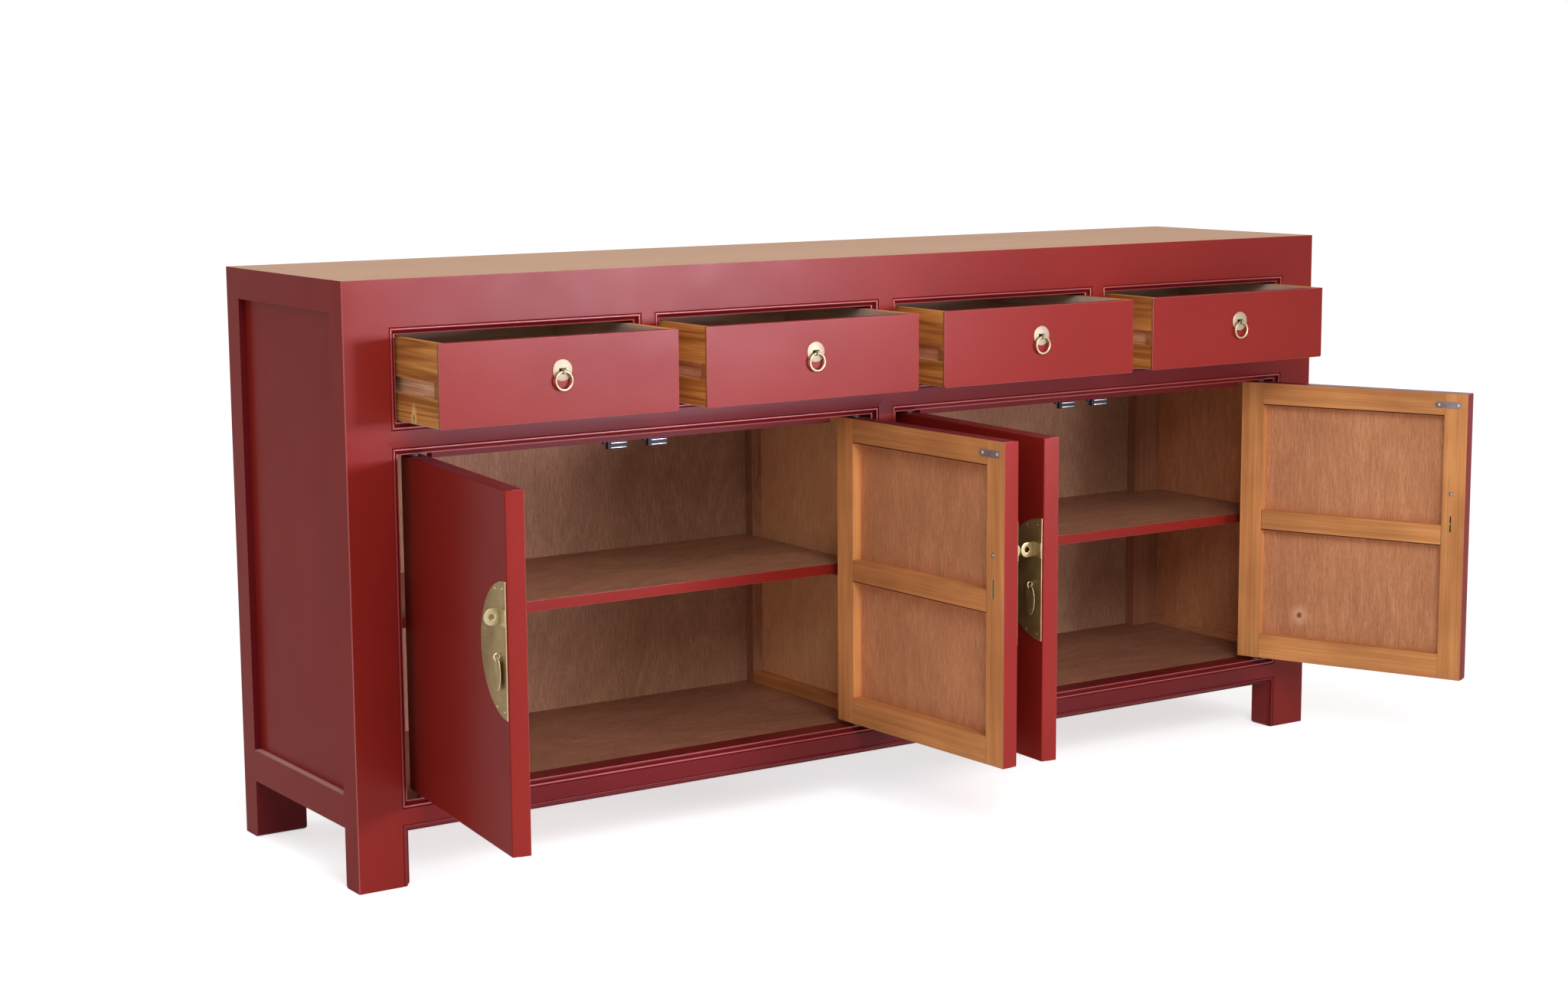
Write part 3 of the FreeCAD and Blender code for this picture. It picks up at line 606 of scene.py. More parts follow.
def solids_of(name):
    """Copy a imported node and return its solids, one object each, with whole faces."""
    copy = bpy.data.objects.new(name + "_part", nodes[name].data.copy())
    bpy.context.scene.collection.objects.link(copy)
    edit(copy)
    bpy.ops.mesh.customdata_custom_splitnormals_clear()
    bpy.ops.mesh.remove_doubles(threshold=merge_distance)
    shape = bmesh.from_edit_mesh(copy.data)
    mark = shape.faces.layers.int.new("solid")
    count = 0
    for seed in shape.faces:
        if seed[mark]:
            continue
        count += 1
        seed[mark] = count
        waiting = [seed]
        while waiting:
            for edge in waiting.pop().edges:
                for face in edge.link_faces:
                    if len(edge.link_faces) == 2 and not face[mark]:
                        face[mark] = count
                        waiting.append(face)
    bmesh.update_edit_mesh(copy.data)
    for number in range(2, count + 1):
        shape = bmesh.from_edit_mesh(copy.data)
        mark = shape.faces.layers.int["solid"]
        choose("faces", lambda face: face[mark] == number)
        bpy.ops.mesh.separate(type="SELECTED")
    done()
    parts = [copy] + [other for other in bpy.context.selected_objects if other != copy]
    for part in parts:
        edit(part)
        bpy.ops.mesh.dissolve_limited(angle_limit=flat_angle)
        done()
        part.data.materials.clear()
        part.data.attributes.remove(part.data.attributes["solid"])
    return parts


wood_nodes = [
    "leg_front_left", "leg_front_right", "leg_back_left", "leg_back_right", "top_rail_front",
    "mid_rail_front", "bottom_rail_front", "centre_stile", "drawer_dividers", "side_rails",
    "side_panel_left", "side_panel_right", "partition", "shelves",
]
for number in range(1, 5):
    wood_nodes += [f"drawer_{number}_front", f"drawer_{number}_box"]
    wood_nodes += [f"door_{number}_skin", f"door_{number}_frame"]
wood_nodes.append("back_rails")
solids = {name: solids_of(name) for name in wood_nodes}
print("wooden solids:", sum(len(parts) for parts in solids.values()))

# %% [markdown]
# ### Divide the long faces
# A leg is one face from the floor to the top, but it is lacquered where it shows, bare where it
# stands inside, and closed against a rail where one meets it. Cutting the legs and side rails
# across at those places lets each stretch have its own finish and its own arris. Bisect cuts
# every selected face along a plane, and with nothing cleared it keeps both sides.

# %% Divide the long faces
cabinet_low = Vector(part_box("leg_front_left")[0])
cabinet_high = Vector(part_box("leg_back_right")[1])
panel_inside = -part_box("side_panel_left")[1].x
floor_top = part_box("floor_board")[1].z
rail_levels = {round(corner.co.z, 4) for part in solids["side_rails"] for corner in part.data.vertices}


def divide(piece, point, normal):
    """Cut a piece's faces along a plane, and keep both sides."""
    edit(piece)
    bpy.ops.mesh.bisect(plane_co=point, plane_no=normal)
    done()


for name, parts in solids.items():
    if not name.startswith("leg_") and name != "side_rails":
        continue
    for part in parts:
        for side in (-panel_inside, panel_inside):
            divide(part, (side, 0, 0), (1, 0, 0))
        if name.startswith("leg_"):
            for level_z in sorted(rail_levels | {floor_top}):
                divide(part, (0, 0, level_z), (0, 0, 1))
print("levels of the side rails:", sorted(rail_levels))

# %% [markdown]
# ### Which faces are painted
# The lacquer covers what shows from outside: the frame, the sides and the doors with their edges.
# The top is a plain tan, and the backs of things are bare. Each face is given its finish by the
# way it looks and by where it lies, so each kind of piece gets a small rule that looks at a face
# and returns the name of its finish. The rules for the carcass come first.

# %% Rules for the carcass
finishes = {
    "lacquer": lacquer_material,
    "shaded": shaded_material,
    "side": side_material,
    "arris": arris_highlight_material,
    "ledge": ledge_highlight_material,
    "top": top_material,
    "honey": honey_material,
    "ply": ply_material,
    "lit ply": lit_ply_material,
    "shelf": shelf_material,
    "drawer": drawer_material,
    "inside": inside_material,
    "end": end_material,
    "planed": planed_material,
    "post": post_material,
    "joint": joint_and_shadow_material,
}
finish_names = list(finishes)
facing = 0.9
near = 0.001
side_depth = 0.015
crest_width = 0.0018
crest_facing = 0.97
shine_from = sum(corner.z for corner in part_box("bottom_rail_front")) / 2
panel_reach = 0.1
slant = 0.05


def reach_along(face, axis):
    """How far a face reaches along one axis, as its lowest and highest place."""
    places = [corner.co[axis] for corner in face.verts]
    return min(places), max(places)


def carcass_finish(face):
    """Lacquer outside, tan on top, painted shade in the moulding hollows and a painted highlight along each
    crest.
    """
    centre = face.calc_center_median()
    if face.normal.z > facing and centre.z > cabinet_high.z - near:
        return "top"
    if abs(face.normal.x) > facing and abs(centre.x) > cabinet_high.x - side_depth:
        return "side"
    if face.normal.y < -facing:
        width = 2 * face.calc_area() / face.calc_perimeter()
        if width < crest_width and face.normal.y < -crest_facing and centre.z > shine_from:
            return "arris"
        return "lacquer" if centre.y < cabinet_low.y + near else "shaded"
    return "shaded" if face.normal.y < -slant else "lacquer"


def back_leg_finish(face):
    """A back leg is bare wood where it stands inside the cabinet."""
    centre = face.calc_center_median()
    inwards = face.normal.y < -facing or face.normal.x * centre.x < -near
    if inwards and abs(centre.x) < panel_inside + near and centre.z > floor_top:
        return "post"
    return carcass_finish(face)


def panel_finish(face):
    """A side panel or rail is lacquered outside the cabinet, and its ledge gets a pale lacquer that is a
    painted highlight.
    """
    centre = face.calc_center_median()
    if face.normal.z > facing and centre.z > cabinet_high.z - near:
        return "top"
    if face.normal.x * centre.x < -near or abs(centre.x) < panel_inside + near:
        return "ply"
    return "ledge" if face.normal.z > facing else "side"


def shelf_finish(face):
    """A shelf is plywood with a lacquered front edge."""
    return "lacquer" if face.normal.y < -facing else "shelf"


def partition_finish(face):
    """The partition has a plywood panel, made paler as painted light, in a frame of solid wood."""
    low, high = reach_along(face, 1)
    bottom, top = reach_along(face, 2)
    if top - bottom < panel_reach:
        return "honey"
    return "lit ply" if high - low > panel_reach else "shelf"


# %% [markdown]
# A drawer's rule needs to know where its groove lies, and a door's rule which way the door looks.
# So each of these functions first measures its own drawer or door, and then returns a rule. A
# door's directions come from its joint: at rest it stands open by as much as the joint can close.

# %% Rules for the drawers and doors
groove_rise = 0.04
groove_height = 0.022
dull_doors = (4,)


def drawer_front_finish(face):
    """A drawer front is lacquered on its face and along its top, and shows its core at its ends."""
    if face.normal.y < -facing or face.normal.z > facing:
        return "lacquer"
    return "inside" if face.normal.y > facing else "end"


def drawer_box_finish(number):
    """Drawer sides are golden outside and greyer inside, with a planed groove for the runner; inside and
    groove are made paler as painted light.
    """
    low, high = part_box(f"drawer_{number}_box")
    middle = (low.x + high.x) / 2
    groove_low = low.z + groove_rise
    groove_high = groove_low + groove_height

    def finish(face):
        bottom, top = reach_along(face, 2)
        if bottom > groove_low - near and top < groove_high + near:
            return "planed"
        centre = face.calc_center_median()
        outward = abs(face.normal.x) > facing and face.normal.x * (centre.x - middle) > 0
        rim = face.normal.z > facing and centre.z > (low.z + high.z) / 2
        return "drawer" if outward or rim else "inside"

    return finish


def door_axes(number):
    """A door's direction from hinge to free edge, the way its front looks, and its pivot."""
    joint = joints[f"door_{number}_pivot"]
    hand = -joint["axis"][2]
    angle = -hand * math.radians(-joint["range_deg"][0])
    turn = Matrix.Rotation(angle, 3, "Z")
    return turn @ Vector((hand, 0, 0)), turn @ Vector((0, -1, 0)), Vector(joint["pos_m"])


def door_finish(number, back):
    """A door is lacquered on its front and its side edges, darker on its top and bottom as painted shade,
    and bare at the back.
    """
    along, out, pivot = door_axes(number)
    base, top = (corner.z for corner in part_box(f"door_{number}_skin"))
    corners = [vertex.co for vertex in nodes[f"door_{number}_skin"].data.vertices]
    reach = [(corner - pivot).dot(along) for corner in corners]
    low, high = min(reach), max(reach)

    def finish(face):
        centre = face.calc_center_median()
        place = (centre - pivot).dot(along)
        if face.normal.dot(out) < -facing:
            return back
        if abs(face.normal.z) > facing:
            return "shaded" if min(abs(centre.z - base), abs(centre.z - top)) < near else back
        if min(abs(place - low), abs(place - high)) < near:
            return "side" if number in dull_doors else "lacquer"
        return "side" if face.normal.dot(out) > near else back

    return finish


# %% [markdown]
# Now every node gets its rule by its name, and every face of its solids the finish that the rule
# names. All the finishes are put into each mesh in the same order, so a finish has one number.

# %% Paint the faces
def finish_rule(name):
    """The rule that paints one node's faces."""
    if name.startswith("door"):
        return door_finish(int(name[5]), "ply" if name.endswith("skin") else "honey")
    if name.endswith("_front") and name.startswith("drawer"):
        return drawer_front_finish
    if name.endswith("_box"):
        return drawer_box_finish(int(name[7]))
    if name.startswith("side"):
        return panel_finish
    if name.startswith("leg_back"):
        return back_leg_finish
    return {"shelves": shelf_finish, "partition": partition_finish}.get(name, carcass_finish)


for name, parts in solids.items():
    rule = finish_rule(name)
    for part in parts:
        for finish in finishes.values():
            part.data.materials.append(finish)
        edit(part)
        shape = bmesh.from_edit_mesh(part.data)
        for face in shape.faces:
            face.material_index = finish_names.index(rule(face))
        bmesh.update_edit_mesh(part.data)
        done()
print("finishes:", ", ".join(finish_names))

# %% [markdown]
# ### Easing the arrises
# A tree of every solid's faces tells quickly whether an edge lies against a neighbour. `ease`
# weighs the sharp edges that pass a test and lets a bevel modifier round just those, with a
# finish of their own where one is given.

# %% Ease some edges
arris_angle = math.radians(75.0)
round_segments = 2


def tree_of(piece):
    """A search tree of a piece's faces."""
    shape = bmesh.new()
    shape.from_mesh(piece.data)
    made = BVHTree.FromBMesh(shape)
    shape.free()
    return made


def ease(piece, width, chosen, finish=None):
    """Bevel the sharp edges that pass a test, into a finish where one is given."""
    edit(piece)
    shape = bmesh.from_edit_mesh(piece.data)
    weights = shape.edges.layers.float
    weight = weights.get("bevel_weight_edge") or weights.new("bevel_weight_edge")
    found = 0
    for edge in shape.edges:
        edge[weight] = 0.0
        if len(edge.link_faces) == 2 and edge.is_convex and edge.calc_face_angle() > arris_angle:
            edge[weight] = float(chosen(edge))
            found += edge[weight] > 0
    bmesh.update_edit_mesh(piece.data)
    done()
    if found:
        modified(piece, "BEVEL", width=width, segments=round_segments, limit_method="WEIGHT",
                 material=finish_names.index(finish) if finish else -1)


trees = {part.name: tree_of(part) for parts in solids.values() for part in parts}
body_of = {name: nodes[name]["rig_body"] for name in wood_nodes}
body_parts = {}
for name, parts in solids.items():
    body_parts.setdefault(body_of[name], []).extend(part.name for part in parts)

# %% [markdown]
# The wide rounds come first: the bottoms of the feet and the front corners of the legs, the door
# fronts, and the lower arris of each door rail, which is darkened as painted shadow under the rail.
# Then the other painted arrises are bevelled into the arris lacquer with its painted highlight, and
# the bare ones a little wider. A joint between bare boards and the mitre of the front frame get a
# hairline, which draws the joint. Weighted normals then keep the flat faces flat beside their rounds.

# %% Ease the arrises
touch = 0.00005
front_round = 0.0018
foot_round = 0.0035
rail_round = 0.002
corner_round = 0.0012
painted_round = 0.0005
bare_round = 0.0007
joint_round = 0.0004
mitre_slope = 0.4
smooth_angle = math.radians(50.0)
door_base, door_top = (corner.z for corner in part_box("door_1_frame"))
lacquered = [finish_names.index(name) for name in ("lacquer", "shaded", "side", "top", "arris", "ledge")]
from_the_side = finish_names.index("side")


def on_paint(edge):
    """Tell whether an edge borders a painted face."""
    return any(face.material_index in lacquered for face in edge.link_faces)


def under_the_foot(edge):
    """Tell whether an edge lies on the floor."""
    return max(vertex.co.z for vertex in edge.verts) < cabinet_low.z + near


def front_corner(edge):
    """Tell whether an edge runs up a front corner of the cabinet."""
    outside = all(abs(vertex.co.x) > cabinet_high.x - near for vertex in edge.verts)
    return outside and max(vertex.co.y for vertex in edge.verts) < cabinet_low.y + near


def mitre(edge):
    """Tell whether a painted edge runs at a slant, as the mitres of the front frame do."""
    along = (edge.verts[1].co - edge.verts[0].co).normalized()
    return on_paint(edge) and min(abs(along.x), abs(along.z)) > mitre_slope


def soften(piece, name):
    """Ease the wide rounds of one solid, then its painted arrises, its bare ones and its joints."""
    others = [trees[other] for other in body_parts[body_of[name]] if other != piece.name]

    def touching(edge):
        middle = (edge.verts[0].co + edge.verts[1].co) / 2
        return any(other.find_nearest(middle, touch)[0] is not None for other in others)

    def under_a_rail(edge):
        downwards = any(face.normal.z < -facing for face in edge.link_faces)
        inside = min(vertex.co.z for vertex in edge.verts) > door_base + near
        return downwards and inside and not touching(edge)

    def painted(edge):
        return on_paint(edge) and not touching(edge)

    def without_shine(edge):
        low = max(vertex.co.z for vertex in edge.verts) < shine_from
        on_a_side = all(face.material_index == from_the_side for face in edge.link_faces)
        return painted(edge) and (low or on_a_side)

    if name.startswith("leg_"):
        ease(piece, foot_round, under_the_foot)
        ease(piece, corner_round, front_corner, "arris")
    if name.endswith("_skin"):
        ease(piece, front_round, painted)
    if name.endswith("_frame"):
        ease(piece, rail_round, under_a_rail, "joint")
    ease(piece, painted_round, without_shine)
    ease(piece, painted_round, painted, "arris")
    ease(piece, joint_round, mitre, "arris")
    ease(piece, bare_round, lambda edge: not on_paint(edge) and not touching(edge))
    ease(piece, joint_round, lambda edge: not on_paint(edge) and touching(edge), "joint")
    solo(piece)
    bpy.ops.object.shade_smooth_by_angle(angle=smooth_angle)
    modified(piece, "WEIGHTED_NORMAL", keep_sharp=True)


for name, parts in solids.items():
    for part in parts:
        soften(part, name)
print("softened faces:", sum(len(part.data.polygons) for parts in solids.values() for part in parts))

# %% [markdown]
# ### Grain that follows each board
# The longest edge of a board gives the way its grain runs. Every vertex then stores how far it
# lies along the board, across it and into it, moved on by a step for each board, so that no two
# boards show the same grain. A second attribute, `tone`, makes some boards darker than others.

# %% Lay the grain
board_step = Vector((0.731, 0.417, 0.263))
tone_step = 0.618


def lay_grain(piece, order):
    """Store each vertex's place in its board."""
    mesh = piece.data
    longest = max(mesh.edges, key=lambda edge: (mesh.vertices[edge.vertices[0]].co
                                                - mesh.vertices[edge.vertices[1]].co).length)
    ends = [mesh.vertices[index].co for index in longest.vertices]
    along = (ends[1] - ends[0]).normalized()
    face = max(mesh.polygons, key=lambda polygon: polygon.area)
    into = face.normal
    across = into.cross(along).normalized()
    into = along.cross(across)
    if along.z + along.x < 0:
        along = -along
    grain = mesh.attributes.new("grain", "FLOAT_VECTOR", "POINT")
    for vertex, stored in zip(mesh.vertices, grain.data):
        place = Vector((vertex.co.dot(along), vertex.co.dot(across), vertex.co.dot(into)))
        stored.vector = place + board_step * order
    tone = mesh.attributes.new("tone", "FLOAT", "POINT")
    for stored in tone.data:
        stored.value = order * tone_step % 1


boards = [part for parts in solids.values() for part in parts]
for order, board in enumerate(boards, 1):
    lay_grain(board, order)
print("boards:", len(boards))

# %% [markdown]
# ### Back into pieces
# The solids of one node are joined again into one piece, which stands for that node and rides on
# the same body.

# %% Join the solids of each node
for name, parts in solids.items():
    solo(parts[0])
    for part in parts[1:]:
        part.select_set(True)
    if len(parts) > 1:
        bpy.ops.object.join()
    piece = parts[0]
    piece.name = name + "_wood"
    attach(piece, body_of[name])
    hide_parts(name)
print("wooden pieces:", len(solids))

# %% [markdown]
# ## Fittings: helpers
# Small metal parts start from a primitive at its size and place. They are then cut, bridged,
# spun or extruded in edit mode, and a bevel modifier breaks their edges, because cut metal shows
# as metal by the thin bright line along its edge.

# %% Helpers for fittings
wire_sides = 14
tiny = 0.00001


def start(add, name, finish, scale=(1, 1, 1), **place):
    """Add a primitive, name it, give it its finish and put its place into its mesh."""
    bpy.ops.object.select_all(action="DESELECT")
    add(**place)
    piece = bpy.context.object
    piece.scale = scale
    piece.name = name
    piece.data.materials.append(finish)
    bpy.ops.object.transform_apply(location=True, rotation=True, scale=True)
    return piece


def block(name, low, high, finish):
    """A box from its lowest to its highest corner."""
    low, high = Vector(low), Vector(high)
    return start(bpy.ops.mesh.primitive_cube_add, name, finish, size=1.0,
                 location=(low + high) / 2, scale=high - low)


def disc(name, finish, sides, radius, thickness, place):
    """A thin cylinder that faces the front."""
    return start(bpy.ops.mesh.primitive_cylinder_add, name, finish, vertices=sides, radius=radius,
                 depth=thickness, location=place, rotation=(quarter_turn, 0, 0))


def half_ball(name, place, radius, flatness, finish, away, sides):
    """A domed head on a surface, cut in half and pressed flatter: away is -1 to the front, 1 to the back."""
    head = start(bpy.ops.mesh.primitive_uv_sphere_add, name, finish, segments=sides,
                 ring_count=sides // 2, radius=radius, location=place, rotation=(quarter_turn, 0, 0))
    edit(head)
    bpy.ops.mesh.bisect(plane_co=place, plane_no=(0, -away, 0), use_fill=True, clear_outer=True)
    bpy.ops.mesh.select_all(action="SELECT")
    bpy.ops.transform.resize(value=(1, flatness, 1), center_override=place)
    bpy.ops.mesh.faces_shade_smooth()
    done()
    return head


def wire_ring(name, centre, axis, radius, wire, steps, finish):
    """A ring of round wire: a small circle spun about the ring's axis."""
    upwards = Vector((0, 0, 1))
    across = axis.cross(upwards).to_track_quat("Z", "Y").to_euler()
    piece = start(bpy.ops.mesh.primitive_circle_add, name, finish, vertices=wire_sides, radius=wire,
                  location=centre + upwards * radius, rotation=across)
    edit(piece)
    bpy.ops.mesh.spin(steps=steps, angle=math.tau, center=centre, axis=axis)
    bpy.ops.mesh.select_all(action="SELECT")
    bpy.ops.mesh.remove_doubles(threshold=merge_distance)
    turn_outwards()
    bpy.ops.mesh.faces_shade_smooth()
    done()
    return piece


# %% [markdown]
# A pierced plate, such as an ear or a leaf, is an outline with a smaller circle in it: the two are
# bridged, and the flat washer is then pulled out to its thickness. `rounded` breaks edges, and the
# last helpers join parts and copy a finished fitting to its place, with a mesh of its own.

# %% Helpers for plates and copies
def pierced(sides, radius, place, turn):
    """In edit mode, add a circle inside the open outline and bridge the two."""
    bpy.ops.mesh.primitive_circle_add(vertices=sides, radius=radius, location=place, rotation=turn)
    bpy.ops.mesh.select_all(action="SELECT")
    bpy.ops.mesh.bridge_edge_loops()


def thickened(way):
    """In edit mode, pull the open sheet out along a way, and leave edit mode."""
    bpy.ops.mesh.select_all(action="SELECT")
    bpy.ops.mesh.extrude_region_move(TRANSFORM_OT_translate={"value": way})
    turn_outwards()
    done()


def rounded(piece, width, rim=None):
    """Break the sharp edges of a piece, into a rim finish where one is given."""
    if rim:
        piece.data.materials.append(rim)
    modified(piece, "BEVEL", width=width, segments=round_segments, angle_limit=smooth_angle,
             material=len(piece.data.materials) - 1)
    bpy.ops.object.shade_smooth_by_angle(angle=smooth_angle)
    return piece


def joined(name, pieces):
    """Join pieces into one object."""
    solo(pieces[0])
    for piece in pieces[1:]:
        piece.select_set(True)
    bpy.ops.object.join()
    pieces[0].name = name
    return pieces[0]


def placed_copy(template, name, placement):
    """Copy a fitting with its own mesh and move it to its place."""
    copy = template.copy()
    copy.data = template.data.copy()
    copy.name = name
    bpy.context.scene.collection.objects.link(copy)
    copy.matrix_world = placement
    solo(copy)
    bpy.ops.object.transform_apply(location=True, rotation=True, scale=True)
    edit(copy)
    turn_outwards()
    done()
    return copy


# %% [markdown]
# ## Lock plates
# On the real doors a half disc of sheet brass is nailed down with its straight side at the
# meeting edge. A strap folded out of it ends in an ear with a hole, where a padlock would go
# through both doors. The disc is a cylinder cut in half by bisect. The ear is two circles
# bridged into a washer, and half of the outer circle is then pressed flat against the plate.

# %% Lock plate
door_front = -0.011
door_back = 0.0153
free_edge = 0.37025
lock_edge = 0.36825
lock_low, lock_high = (corner.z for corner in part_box("door_1_lock"))
lock_middle = (lock_low + lock_high) / 2
lock_radius = (lock_high - lock_low) / 2
lock_thickness = 0.0015
lock_front = door_front - lock_thickness
lock_rim = 0.0005
lock_sides = 160
strap_length = 0.021
strap_half_height = 0.011
strap_thickness = 0.0012
strap_round = 0.0003
ear_middle_y = door_front - 0.0123
ear_z = lock_middle + 0.043
ear_hole_radius = 0.004
ear_sides = 48
sideways = (0, quarter_turn, 0)


def lock_disc():
    """The half disc."""
    place = (lock_edge, door_front - lock_thickness / 2, lock_middle)
    plate = disc("disc", brass_material, lock_sides, lock_radius, lock_thickness, place)
    edit(plate)
    bpy.ops.mesh.bisect(plane_co=(lock_edge, 0, 0), plane_no=(1, 0, 0), use_fill=True, clear_outer=True)
    done()
    return rounded(plate, lock_rim, rim_material)


def lock_ear():
    """The ear that stands out from the plate, with its hole."""
    left = lock_edge - strap_length
    centre = Vector((left, ear_middle_y, ear_z))
    ear = start(bpy.ops.mesh.primitive_circle_add, "ear", rubbed_brass_material, vertices=ear_sides,
                radius=strap_half_height, location=centre, rotation=sideways)
    edit(ear)
    pierced(ear_sides, ear_hole_radius, centre, sideways)
    choose("verts", lambda point: point.co.y > ear_middle_y + tiny
           and (point.co - centre).length > strap_half_height - tiny)
    bpy.ops.transform.resize(value=(1, 0, 1), center_override=(left, lock_front, ear_z))
    thickened((strap_thickness, 0, 0))
    return rounded(ear, strap_round, bright_brass_material)


# %% [markdown]
# The strap is a flat block. The eye that carries the leaf is a ring of wire, and the nails are
# half balls. All of it is one piece of brasswork, made on a closed left-hand door, whose pivot is
# the origin.

# %% Strap, eye and nails
nail_radius = 0.0014
nail_flatness = 0.5
nail_sides = 16
nail_places = ((0.0125, 0.08), (0.0125, -0.08), (0.038, 0.077), (0.038, -0.077))
eye_centre = Vector((free_edge - 0.024, lock_front - 0.0044, lock_middle - 0.009))
eye_radius = 0.004
eye_wire = 0.0011
eye_steps = 32


def lock_nail(from_edge, rise):
    """A nail head."""
    return half_ball("nail", (free_edge - from_edge, lock_front, lock_middle + rise), nail_radius,
                     nail_flatness, bright_brass_material, -1, nail_sides)


strap_low = (lock_edge - strap_length, lock_front - strap_thickness, ear_z - strap_half_height)
strap_high = (lock_edge - lock_rim, lock_front, ear_z + strap_half_height)
strap = rounded(block("strap", strap_low, strap_high, rubbed_brass_material), strap_round)
eye_axis = Vector((1, 0, 0))
leaf_eye = wire_ring("eye", eye_centre, eye_axis, eye_radius, eye_wire, eye_steps, bright_brass_material)
nails = [lock_nail(*place) for place in nail_places]
lock = joined("lock_brass", [lock_disc(), lock_ear(), strap, leaf_eye, *nails])
print("lock plate faces:", len(lock.data.polygons))

# %% [markdown]
# ## Leaf pulls
# The pull is an oval leaf of the same brass that hangs from a wire eye by a hole near its top. It
# is made as the ear is: an oval and a small circle, bridged and extruded.

# %% Leaf pull
leaf_width = 0.024
leaf_height = 0.045
leaf_thickness = 0.0015
leaf_hole_radius = 0.0026
leaf_hole_from_top = 0.0054
leaf_clearance = 0.0004
leaf_rim = 0.0004
leaf_sides = 64
leaf_front = eye_centre.y - leaf_thickness / 2
leaf_hole_z = eye_centre.z - eye_radius + eye_wire + leaf_clearance - leaf_hole_radius
leaf_middle = (eye_centre.x, leaf_front, leaf_hole_z + leaf_hole_from_top - leaf_height / 2)
leaf_hole = (eye_centre.x, leaf_front, leaf_hole_z)
towards_front = (quarter_turn, 0, 0)

leaf = start(bpy.ops.mesh.primitive_circle_add, "leaf_brass", brass_material, vertices=leaf_sides,
             radius=leaf_width / 2, location=leaf_middle, rotation=towards_front)
edit(leaf)
bpy.ops.transform.resize(value=(1, 1, leaf_height / leaf_width), center_override=leaf_middle)
pierced(leaf_sides, leaf_hole_radius, leaf_hole, towards_front)
thickened((0, leaf_thickness, 0))
rounded(leaf, leaf_rim, bright_brass_material)
print("leaf faces:", len(leaf.data.polygons))

# %% [markdown]
# ## Fittings on the doors' backs
# Behind each door the ends of the brass show: a riveted washer behind the ear, and the two legs
# of the split pin that holds the leaf, bent flat up and down. Near the top is the steel strike
# plate that the magnet holds, with its two screws. The pivots are pins with a collar that keeps
# the door off the rail.

# %% Strike plate and rivet
strike_right = free_edge - 0.010
strike_width = 0.045
strike_height = 0.010
strike_thickness = 0.001
strike_round = 0.0045
strike_segments = 8
strike_rim = 0.0002
strike_z = 0.5854
screw_inset = 0.0065
screw_radius = 0.0024
screw_flatness = 0.5
rivet_z = lock_middle + 0.041
rivet_radius = 0.0035
rivet_thickness = 0.0008
rivet_rim = 0.0003
rivet_core = 0.0015
rivet_flatness = 0.6
head_sides = 20
round_sides = 32


def across_the_sheet(thickness):
    """A test for the short edges that run through a sheet."""
    return lambda edge: abs(edge.verts[0].co.y - edge.verts[1].co.y) > thickness / 2


def strike_plate():
    """The strike plate: a block whose ends are rounded by a wide bevel."""
    half = strike_height / 2
    plate = block("strike", (strike_right - strike_width, door_back, strike_z - half),
                  (strike_right, door_back + strike_thickness, strike_z + half), worn_steel_material)
    edit(plate)
    choose("edges", across_the_sheet(strike_thickness))
    bpy.ops.mesh.bevel(offset=strike_round, segments=strike_segments, affect="EDGES")
    done()
    return rounded(plate, strike_rim)


plate_face = door_back + strike_thickness
screws = [half_ball("screw", (strike_right - reach, plate_face, strike_z), screw_radius, screw_flatness,
                    steel_material, 1, head_sides)
          for reach in (screw_inset, strike_width - screw_inset)]
washer = disc("washer", worn_steel_material, round_sides, rivet_radius, rivet_thickness,
              (eye_centre.x, door_back + rivet_thickness / 2, rivet_z))
rounded(washer, rivet_rim)
rivet = half_ball("rivet", (eye_centre.x, door_back + rivet_thickness, rivet_z), rivet_core,
                  rivet_flatness, steel_material, 1, head_sides)
print("rivet at", round(rivet_z, 4), "m, strike plate at", strike_z, "m")

# %% [markdown]
# Each leg of the split pin is a narrow block whose free corners are rounded, with a hollow pressed
# into its back: the inner faces are inset and pushed down, and get a dark finish of painted shade.
# Pins and collars are plain cylinders on the pivot's axis.

# %% Split pin and pivots
split_leg_length = 0.014
split_leg_half_width = 0.0017
split_leg_thickness = 0.001
split_leg_gap = 0.0004
split_leg_round = 0.8 * split_leg_half_width
split_leg_segments = 3
hollow_rim = 0.35 * split_leg_half_width
hollow_depth = 0.7 * split_leg_thickness
collar_radius = 0.007
pin_radius = 0.003
pin_rim = 0.0004
lower_collar = 0.0067
upper_collar = 0.0030
pin_bottom, pin_top = (corner.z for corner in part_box("door_1_fittings"))


def split_leg(direction):
    """One leg of the split pin, flat on the wood, tapered to its end and hollowed along its middle."""
    near_end = eye_centre.z + direction * split_leg_gap
    far_end = eye_centre.z + direction * split_leg_length
    low = (eye_centre.x - split_leg_half_width, door_back, min(near_end, far_end))
    high = (eye_centre.x + split_leg_half_width, door_back + split_leg_thickness, max(near_end, far_end))
    leg = block("split_leg", low, high, rubbed_brass_material)
    leg.data.materials.append(hollow_shade_material)
    edit(leg)
    choose("edges", across_the_sheet(split_leg_thickness))
    bpy.ops.mesh.bevel(offset=split_leg_round, segments=split_leg_segments, affect="EDGES")
    choose("faces", lambda face: face.normal.y > facing)
    bpy.ops.mesh.inset(thickness=hollow_rim)
    bpy.ops.transform.translate(value=(0, -hollow_depth, 0))
    leg.active_material_index = 1
    bpy.ops.object.material_slot_assign()
    done()
    bpy.ops.object.shade_smooth_by_angle(angle=smooth_angle)
    return leg


